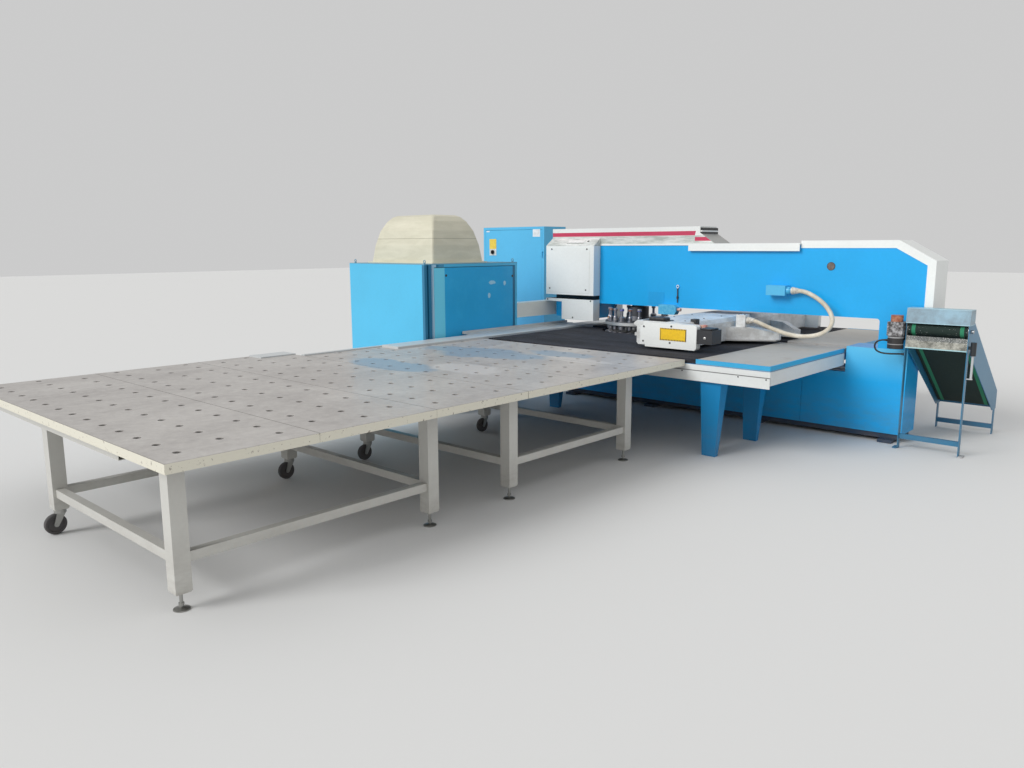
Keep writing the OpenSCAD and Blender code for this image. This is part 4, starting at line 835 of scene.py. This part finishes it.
def smoothPath(points, step):
    # Catmull-Rom through the points, then even steps along it
    fine = []
    padded = [points[0]] + list(points) + [points[-1]]
    for a, b, c, d in zip(padded, padded[1:], padded[2:], padded[3:]):
        a, b, c, d = (Vector(v) for v in (a, b, c, d))
        for k in range(12):
            t = k / 12
            fine.append(0.5 * (2 * b + (c - a) * t + (2 * a - 5 * b + 4 * c - d) * t * t
                               + (3 * b - a - 3 * c + d) * t ** 3))
    fine.append(Vector(points[-1]))
    even, carried = [fine[0]], 0.0
    for start, stop in zip(fine, fine[1:]):
        run = (stop - start).length
        while carried + run >= step:
            start = start + (stop - start).normalized() * (step - carried)
            run = (stop - start).length
            even.append(start)
            carried = 0.0
        carried += run
    if (even[-1] - fine[-1]).length > step * 0.3:
        even.append(fine[-1])
    else:
        even[-1] = fine[-1]
    return even


def addTube(mesh, path, radiusAt, sides):
    rings = []
    across = None
    for k, spot in enumerate(path):
        ahead = (path[min(k + 1, len(path) - 1)] - path[max(k - 1, 0)]).normalized()
        across = ahead.orthogonal() if across is None else across - ahead * across.dot(ahead)
        across = across.normalized()
        other = ahead.cross(across)
        rings.append([mesh.verts.new(spot + radiusAt(k) * (math.cos(t) * across + math.sin(t) * other))
                      for t in (2 * math.pi * j / sides for j in range(sides))])
    for lower, upper in zip(rings, rings[1:]):
        for j in range(sides):
            mesh.faces.new((lower[j], lower[(j + 1) % sides], upper[(j + 1) % sides], upper[j]))
    mesh.faces.new(rings[0][::-1])
    mesh.faces.new(rings[-1])


def pathLength(path):
    return sum((b - a).length for a, b in zip(path, path[1:]))


# hose and motor lead
hoseSettings = {
    "diameter": 0.05,
    "ribPitch": 0.011,
    "ribDepth": 0.0035,
    # depth of the groove at each of the steps of a rib
    "ribShape": (0.0, 0.6, 1.0, 0.6),
    "colours": ((238, 232, 218), (196, 184, 160)),
    # points near the hose's two ends, at the arm and at the beam
    "armEnd": (1.86, -0.262, 1.553),
    "beamEnd": (1.5, -0.477, 1.211),
    "route": [
        (1.8503, -0.262, 1.553), (1.875, -0.262, 1.553), (1.94, -0.268, 1.55), (2.015, -0.284, 1.532),
        (2.1, -0.304, 1.496), (2.18, -0.326, 1.45), (2.25, -0.35, 1.395), (2.305, -0.374, 1.33),
        (2.335, -0.398, 1.262), (2.325, -0.42, 1.195), (2.27, -0.438, 1.135), (2.185, -0.45, 1.098),
        (2.085, -0.458, 1.08), (1.98, -0.464, 1.08), (1.87, -0.47, 1.096), (1.76, -0.474, 1.126),
        (1.65, -0.476, 1.16), (1.56, -0.477, 1.194), (1.515, -0.477, 1.207), (1.475, -0.477, 1.214),
        (1.4503, -0.477, 1.214),
    ],
}
leadSettings = {
    "diameter": 0.017,
    "step": 0.006,
    "route": [
        (2.9063, -0.4, 1.098), (2.89, -0.4, 1.098), (2.85, -0.403, 1.095), (2.812, -0.408, 1.08),
        (2.792, -0.412, 1.054), (2.79, -0.415, 1.022), (2.804, -0.417, 0.994), (2.835, -0.417, 0.974),
        (2.88, -0.413, 0.964), (2.935, -0.405, 0.962), (2.99, -0.394, 0.964), (3.03, -0.386, 0.966),
        (3.058, -0.384, 0.966), (3.0717, -0.384, 0.966),
    ],
}


def layHose():
    setting = hoseSettings
    finish = cloudyFinish("corrugatedHose", 0.55, (7.0, 5.0, 0.7), (0.35, 0.75), setting["colours"])
    finish.bump(finish.noise(300.0, 2.0), 0.0004, 0.4)
    shape = setting["ribShape"]
    path = smoothPath(setting["route"], setting["ribPitch"] / len(shape))
    radius = setting["diameter"] / 2
    mesh = bmesh.new()
    addTube(mesh, path, lambda k: radius - setting["ribDepth"] * shape[k % len(shape)], 16)
    hose = addPiece("hose", mesh, finish, None, "hose_cream")
    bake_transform(hose)
    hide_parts("conduit")
    print("hose", round(pathLength(path), 3), "m")


def layLead():
    setting = leadSettings
    finish = Finish("leadSheath", 0.45)
    rub = finish.noise(60.0, 4.0)
    finish.set("Base Color", finish.mix(rub.ramp(0.4, 0.8), (0.012, 0.012, 0.013), (0.035, 0.034, 0.033)))
    finish.set("Roughness", rub * 0.2 + 0.38)
    path = smoothPath(setting["route"], setting["step"])
    mesh = bmesh.new()
    addTube(mesh, path, lambda k: setting["diameter"] / 2, 12)
    lead = addPiece("motorLead", mesh, finish, "press", "cable_black")
    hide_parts("motor_cable")
    print("lead", round(pathLength(path), 3), "m")


layHose()
layLead()


# strain reliefs at both ends of the hose and of the lead
reliefColours = {
    "pale": ((222, 218, 208), (176, 170, 160)),
    "dark": ((30, 30, 31), (52, 52, 54)),
}
leadReliefProfile = [(-0.004, 0.015), (0.008, 0.015), (0.01, 0.012), (0.022, 0.0108), (0.034, 0.0094)]
reliefSettings = {
    # name: (body, foot, direction, profile)
    "hoseReliefArm": ("press", (1.85, -0.262, 1.553), (1, 0, 0), [
        (-0.034, 0.0375), (-0.03, 0.0405), (-0.012, 0.0405), (-0.008, 0.037), (0.0, 0.036), (0.02, 0.033),
        (0.038, 0.0285), (0.05, 0.0262)]),
    "hoseReliefBrace": ("beam", (1.45, -0.477, 1.214), (1, 0, 0), [
        (-0.034, 0.0395), (-0.03, 0.0425), (-0.01, 0.0425), (-0.006, 0.038), (0.01, 0.036), (0.03, 0.031),
        (0.05, 0.0262)]),
    "leadReliefMotor": ("press", (2.9075, -0.4, 1.098), (-1, 0, 0), leadReliefProfile),
    "leadReliefLeg": ("press", (3.072, -0.384, 0.966), (-1, 0, 0), leadReliefProfile),
}


def layReliefs():
    pale = cloudyFinish("reliefPlastic", 0.45, (50.0, 4.0), (0.4, 0.7), reliefColours["pale"])
    dark = cloudyFinish("glandRubber", 0.55, (70.0, 4.0), (0.4, 0.7), reliefColours["dark"])
    for name, (body, base, axis, profile) in reliefSettings.items():
        mesh = bmesh.new()
        addLathe(mesh, base, axis, profile, 24)
        isHose = name.startswith("hose")
        addPiece(name, mesh, pale if isHose else dark, body, "hose_cream" if isHose else "cable_black")


layReliefs()
print("reliefs set")


# black cups of the ball units under the tray holes
cupSettings = {
    "tableEdge": 1.53,
    "firstHole": 0.19,
    "pitch": 0.255,
    "holeDiameter": 0.05,
    "trays": 3,
    "rows": 3,
    # near edge along Y, tray length, far edge along X, row shift of the first tray
    "tables": {
        "outerCups": (-7.206, 0.952, -1.93, 0),
        "innerCups": (-4.347, 0.778, -1.6, 1),
    },
    "profile": [(0.0, 0.027), (0.03, 0.0325), (0.0312, 0.0325), (0.0312, 0.0242), (0.016, 0.021),
                (0.016, 0.0)],
    "base": 0.9,
    "colours": ((14, 14, 15), (44, 42, 40)),
}


def layCups():
    setting = cupSettings
    finish = cloudyFinish("cupBlack", 0.6, (60.0, 4.0), (0.45, 0.75), setting["colours"])
    rows = setting["rows"]
    for name, (start, length, farEdge, shift) in setting["tables"].items():
        mesh = bmesh.new()
        across = setting["tableEdge"] - farEdge - setting["firstHole"] - setting["holeDiameter"]
        for tray in range(setting["trays"]):
            for row in range(rows):
                y = start + tray * length + (row + 0.5) * length / rows
                for column in range(int(across / setting["pitch"]) + 1):
                    # every other row stands half a pitch further on
                    step = column + (row + tray + shift) % 2 / 2
                    x = setting["tableEdge"] - setting["firstHole"] - step * setting["pitch"]
                    if x > farEdge + setting["holeDiameter"]:
                        addLathe(mesh, (x, y, setting["base"]), (0, 0, 1), setting["profile"], 10)
        addPiece(name, mesh, finish, "press", "wheel_grey")


layCups()
print("cups set")


# marks on the tool heads and guides
headSettings = {
    "axis": -0.37,
    "ringRadius": 0.37,
    "stationTurn": 18,
    "edgeInset": 0.0008,
    "edgeHeight": 0.001,
    # name: (two colours, stations with radius, foot and top)
    "groups": {
        "blueHeads": (((70, 96, 168), (150, 150, 205)), [
            (15, 0.0276, 1.2195, 1.2445), (17, 0.0276, 1.2195, 1.232), (7, 0.0276, 1.2195, 1.2445)]),
        "brownHeads": (((150, 110, 96), (196, 150, 132)), [
            (13, 0.0276, 1.2195, 1.2445), (16, 0.0276, 1.2195, 1.2445), (3, 0.0276, 1.2195, 1.2445)]),
        "paleCollars": (((236, 232, 222), (210, 206, 200)), [
            (17, 0.0276, 1.236, 1.2445), (14, 0.0288, 1.106, 1.118), (17, 0.0288, 1.106, 1.122)]),
        "orangeCollar": (((224, 150, 92), (240, 214, 180)), [
            (12, 0.0288, 1.104, 1.126), (2, 0.0288, 1.104, 1.126)]),
    },
}


def layHeadMarks():
    setting = headSettings
    inset = setting["edgeInset"]
    edge = setting["edgeHeight"]
    for name, (pair, rings) in setting["groups"].items():
        finish = cloudyFinish(name + "Oxide", 0.35, (60.0, 4.0), (0.35, 0.65), pair, 0.5)
        mesh = bmesh.new()
        for station, radius, foot, top in rings:
            turn = math.radians(setting["stationTurn"] * station)
            x = setting["axis"] + setting["ringRadius"] * math.cos(turn)
            y = setting["ringRadius"] * math.sin(turn)
            height = top - foot
            profile = [(0, radius - inset), (edge, radius), (height - edge, radius), (height, radius - inset)]
            addLathe(mesh, (x, y, foot), (0, 0, 1), profile, 28)
        addPiece(name, mesh, finish, "punch_turret", "tool_steel")


layHeadMarks()
print("tool marks set")


# small housings on the beam, the servo box and the covers
def fittingFinish(name, first, second, roughness=0.45, metallic=0.0):
    finish = Finish(name, roughness, metallic)
    cloud = finish.noise(32.0, 5.0, 0.65)
    finish.set("Base Color", finish.between(cloud.ramp(0.36, 0.66), (first, second)))
    finish.set("Roughness", cloud * 0.25 + (roughness - 0.1))
    return finish


housingSettings = {
    # name: (low corner, high corner, bevel)
    "switchHousing": ((0.76, -1.49, 1.2455), (0.955, -1.36, 1.284), 0.014),
    "switchFoot": ((0.70, -1.515, 1.2455), (0.99, -1.34, 1.2515), 0.002),
    "cableBracket": ((1.172, -1.315, 1.2005), (1.238, -1.235, 1.272), 0.004),
    "servoCap": ((1.44, -1.585, 1.1955), (1.57, -1.425, 1.212), 0.006),
}
terminalBoxes = [
    ((1.25, -1.46, 1.1955), (1.37, -1.38, 1.226)),
    ((1.27, -1.56, 1.1955), (1.40, -1.49, 1.216)),
    ((1.38, -1.45, 1.1955), (1.43, -1.40, 1.232)),
]
buttonSettings = {
    "foot": (1.508, -1.602, 1.112),
    "profile": [(0, 0.015), (0.003, 0.015), (0.005, 0.011), (0.005, 0.0)],
}


def layHousings():
    black = fittingFinish("housingBlack", (34, 35, 38), (62, 63, 66))
    for name, (low, high, bevel) in housingSettings.items():
        addBoxes(name, [(low, high)], black, "beam", "servo_black", bevel=bevel)
    rusty = fittingFinish("terminalPaint", (206, 128, 118), (222, 206, 184))
    addBoxes("terminalBoxes", terminalBoxes, rusty, "beam", "servo_black", bevel=0.003)
    bright = fittingFinish("buttonSteel", (216, 216, 214), (180, 180, 178), 0.3, 0.8)
    mesh = bmesh.new()
    addLathe(mesh, buttonSettings["foot"], (0, -1, 0), buttonSettings["profile"], 20)
    addPiece("servoButton", mesh, bright, "beam", "zinc")


shoulderSettings = {
    "normal": (0, -0.5812, 0.8137),
    # grip plate in X and up the slope, from the shoulder's lower edge
    "low": (-1.34, -0.289, 2.0864),
    "high": (-1.07, -0.241, 2.1207),
    "thick": 0.004,
    # dark line under the plate: overhang in X, then its two edges down the slope in Y and Z
    "shadowSide": 0.01,
    "shadowLow": (0.008, 0.0057),
    "shadowHigh": (0.0005, 0.00035),
    "shadowLift": 0.0006,
    "plug": (-1.007, -0.26, 2.1071),
    "plugProfile": [(0, 0.014), (0.004, 0.014), (0.006, 0.01), (0.006, 0)],
}


def layShoulder():
    setting = shoulderSettings
    normal = Vector(setting["normal"])
    x0, y0, z0 = setting["low"]
    x1, y1, z1 = setting["high"]
    plate = fittingFinish("gripPlate", (246, 247, 246), (226, 228, 226), 0.35)
    mesh = bmesh.new()
    base = [Vector(v) for v in ((x0, y0, z0), (x1, y0, z0), (x1, y1, z1), (x0, y1, z1))]
    lower = [mesh.verts.new(v) for v in base]
    upper = [mesh.verts.new(v + normal * setting["thick"]) for v in base]
    mesh.faces.new(lower[::-1])
    mesh.faces.new(upper)
    for k in range(4):
        mesh.faces.new((lower[k], lower[(k + 1) % 4], upper[(k + 1) % 4], upper[k]))
    addPiece("gripPlate", mesh, plate, "press", "cover_white", bevel=0.0012)
    dark = fittingFinish("gripShadow", (60, 62, 62), (96, 98, 96), 0.6)
    left = x0 - setting["shadowSide"]
    right = x1 + setting["shadowSide"]
    downY, downZ = setting["shadowLow"]
    upY, upZ = setting["shadowHigh"]
    mesh = bmesh.new()
    corners = ((left, y0 - downY, z0 - downZ), (right, y0 - downY, z0 - downZ),
               (right, y0 - upY, z0 - upZ), (left, y0 - upY, z0 - upZ))
    mesh.faces.new([mesh.verts.new(Vector(v) + normal * setting["shadowLift"]) for v in corners])
    addPiece("gripShadow", mesh, dark, "press", "servo_black", smooth=False)
    mesh = bmesh.new()
    addLathe(mesh, setting["plug"], normal, setting["plugProfile"], 18)
    addPiece("shoulderPlug", mesh, dark, "press", "servo_black")


layHousings()
layShoulder()
print("housings set")


# screws and small fasteners
skirtScrewRow = (-0.9, -0.3, 0.3, 0.9, 1.5, 2.1, 2.38)
endCoverPlaces = ((0.783, 1.192), (1.122, 1.212), (1.109, 1.037), (0.777, 1.036))
screwSettings = {
    "headRadius": 0.011,
    "headHeight": 0.006,
    "groups": {
        # name: (body, facing, radius factor, places)
        "coverScrews": ("press", (0, -1, 0), 1.0, [
            (-1.568, -0.344, 2.005), (-0.968, -0.344, 2.005), (-0.981, -0.344, 1.467),
            (-1.602, -0.344, 1.475), (-1.642, -0.34, 1.322), (-0.9, -0.34, 1.322), (-1.2, -0.34, 1.089)]),
        "coverScrewsFar": ("press", (0, 1, 0), 1.0, [
            (-1.568, 0.344, 2.005), (-0.968, 0.344, 2.005), (-0.981, 0.344, 1.467), (-1.602, 0.344, 1.475),
            (-1.6, 0.34, 1.322), (-0.9, 0.34, 1.322), (-1.2, 0.34, 1.089)]),
        "panelScrews": ("press", (1, 0, 0), 1.4, [
            (-1.66, -2.238, 1.698), (-1.66, -1.048, 1.66), (-1.66, -2.238, 0.2), (-1.66, -1.048, 0.2)]),
        "endCoverScrews": ("beam", (0, -1, 0), 1.0, [(x, -1.616, z) for x, z in endCoverPlaces]),
        "endCoverScrewsFar": ("beam", (0, 1, 0), 1.0, [(x, 1.616, z) for x, z in endCoverPlaces]),
        "skirtScrews": ("press", (0, -1, 0), 0.7, [(x, -2.011, 0.83) for x in skirtScrewRow]),
        "skirtScrewsFar": ("press", (0, 1, 0), 0.7, [(x, 2.011, 0.83) for x in skirtScrewRow]),
        "beamScrews": ("beam", (0, 0, 1), 0.9, [
            (x, y, 1.245) for x in (0.72, 1.1) for y in (-1.3, -0.9, -0.5, 0.5, 0.9, 1.3)]),
        "braceScrews": ("beam", (0, 0, 1), 0.8, [
            (1.32, -0.5, 1.278), (1.32, -0.45, 1.278), (1.39, -0.5, 1.278)]),
    },
}


def addScrew(mesh, spot, facing, factor):
    radius = screwSettings["headRadius"] * factor
    height = screwSettings["headHeight"] * factor
    profile = [(0, radius), (height * 0.5, radius), (height * 0.85, radius * 0.86), (height, radius * 0.62),
               (height, radius * 0.34), (height * 0.4, radius * 0.3), (height * 0.4, 0)]
    addLathe(mesh, spot, facing, profile, 12)


def layScrews():
    finish = Finish("screwZinc", 0.35, 0.9)
    tarnish = finish.noise(80.0, 4.0)
    finish.set("Base Color", finish.mix(tarnish.ramp(0.35, 0.7), (0.05, 0.05, 0.052), (0.2, 0.2, 0.2)))
    finish.set("Roughness", tarnish * 0.3 + 0.25)
    for name, (body, facing, factor, places) in screwSettings["groups"].items():
        mesh = bmesh.new()
        for spot in places:
            addScrew(mesh, spot, facing, factor)
        addPiece(name, mesh, finish, body, "zinc")


layScrews()
print("screws set")


# plates and signs, all bare
borderSettings = {
    "yellows": ((250, 205, 20), (232, 186, 24)),
    "black": (0.02, 0.02, 0.02),
    # the border starts this far from the middle, as shares of the plate's width and height
    "fromMiddle": (0.455, 0.40),
    "dashes": 17,
    "dashGap": 0.45,
}


def borderedFinish(name, low, high):
    # yellow with a border of short dashes, and nothing written on it
    setting = borderSettings
    finish = Finish(name, 0.4, coat=0.2)
    x, y, z = finish.axes()
    wear = finish.noise(40.0, 5.0, 0.7)
    across = (x - low[0]) / (high[0] - low[0])
    upright = (z - low[1]) / (high[1] - low[1])
    sideways, upwards = setting["fromMiddle"]
    border = (abs(across - 0.5) > sideways).most(abs(upright - 0.5) > upwards)
    dash = (across * setting["dashes"]) % 1.0 > setting["dashGap"]
    mark = border * dash * (wear < 0.62)
    yellow = finish.between(wear.ramp(0.4, 0.8), setting["yellows"])
    finish.set("Base Color", finish.mix(mark, yellow, setting["black"]))
    finish.set("Roughness", wear * 0.3 + 0.25)
    return finish


badgeColours = ((238, 240, 242), (205, 208, 210))
isolatorSettings = {
    "split": 2.005,
    "yellows": ((246, 214, 80), (225, 190, 70)),
    "greys": ((225, 228, 225), (190, 190, 185)),
}


def isolatorFinish():
    # grey below the switch's middle, yellow above
    setting = isolatorSettings
    finish = Finish("isolatorPlate", 0.4)
    x, y, z = finish.axes()
    grime = finish.noise(25.0, 4.0).ramp(0.3, 0.8)
    upper = finish.between(grime, setting["yellows"])
    lower = finish.between(grime, setting["greys"])
    finish.set("Base Color", finish.mix(z > setting["split"], lower, upper))
    return finish


plateSettings = {
    # name: (body, low X and Z, high X and Z, low and high Y, bevel)
    "yellowPlateNear": ("beam", (0.984, 1.06), (1.303, 1.19), (-1.6175, -1.616), 0.0),
    "yellowPlateFar": ("beam", (0.984, 1.06), (1.303, 1.19), (1.616, 1.6175), 0.0),
    "isolatorPlate": ("electric_door", (-3.281, 1.905), (-3.136, 2.155), (0.197, 0.2), 0.001),
    "badgePlate": ("electric_door", (-2.388, 2.183), (-2.248, 2.292), (0.1985, 0.2), 0.0),
    "stripPlate": ("electric_door", (-3.345, 2.262), (-3.28, 2.28), (0.1985, 0.2), 0.0),
}


def layPlates():
    badge = cloudyFinish("badgeWhite", 0.4, (20.0, 4.0), (0.4, 0.8), badgeColours)
    for name, (body, low, high, (back, front), bevel) in plateSettings.items():
        if name.startswith("yellow"):
            finish = borderedFinish(name, low, high)
        else:
            finish = isolatorFinish() if name.startswith("isolator") else badge
        box = ((low[0], back, low[1]), (high[0], front, high[1]))
        addBoxes(name, [box], finish, body, "cover_white", smooth=bevel > 0, bevel=bevel)


layPlates()
print("plates set")


# floor and light
floorSettings = {
    "halfWidth": 60,
    "colour": (0.8, 0.8, 0.79),
    # the floor lies this far below the feet
    "drop": 0.001,
}


def layFloor():
    setting = floorSettings
    reach = setting["halfWidth"]
    mesh = bpy.data.meshes.new("floor")
    corners = [(-reach, -reach, 0), (reach, -reach, 0), (reach, reach, 0), (-reach, reach, 0)]
    mesh.from_pydata(corners, [], [(0, 1, 2, 3)])
    floor = bpy.data.objects.new("floor", mesh)
    bpy.context.scene.collection.objects.link(floor)
    finish = Finish("floorPaint", 0.85)
    finish.set("Base Color", setting["colour"])
    mesh.materials.append(finish.material)
    floor.location.z = -setting["drop"]


lightSettings = {
    "worldStrength": 0.6,
    "sunPlace": (-4, -14, 9),
    "sunAim": (0, -1, 1),
    "sunStrength": 1.72,
    "sunSpread": 28,
}


def lightWorld():
    world = bpy.data.worlds.new("studio")
    bpy.context.scene.world = world
    world.use_nodes = True
    soft = world.node_tree.nodes["Background"]
    soft.inputs["Color"].default_value = (1, 1, 1, 1)
    soft.inputs["Strength"].default_value = lightSettings["worldStrength"]


def addSun():
    setting = lightSettings
    lamp = bpy.data.lights.new("keyLamp", "SUN")
    lamp.energy = setting["sunStrength"]
    lamp.angle = math.radians(setting["sunSpread"])
    holder = bpy.data.objects.new("keyLamp", lamp)
    bpy.context.scene.collection.objects.link(holder)
    holder.location = setting["sunPlace"]
    direction = Vector(setting["sunAim"]) - Vector(setting["sunPlace"])
    holder.rotation_euler = direction.to_track_quat("-Z", "Y").to_euler()


layFloor()
lightWorld()
addSun()
bpy.context.scene.view_settings.view_transform = "Standard"
print("floor and light set")
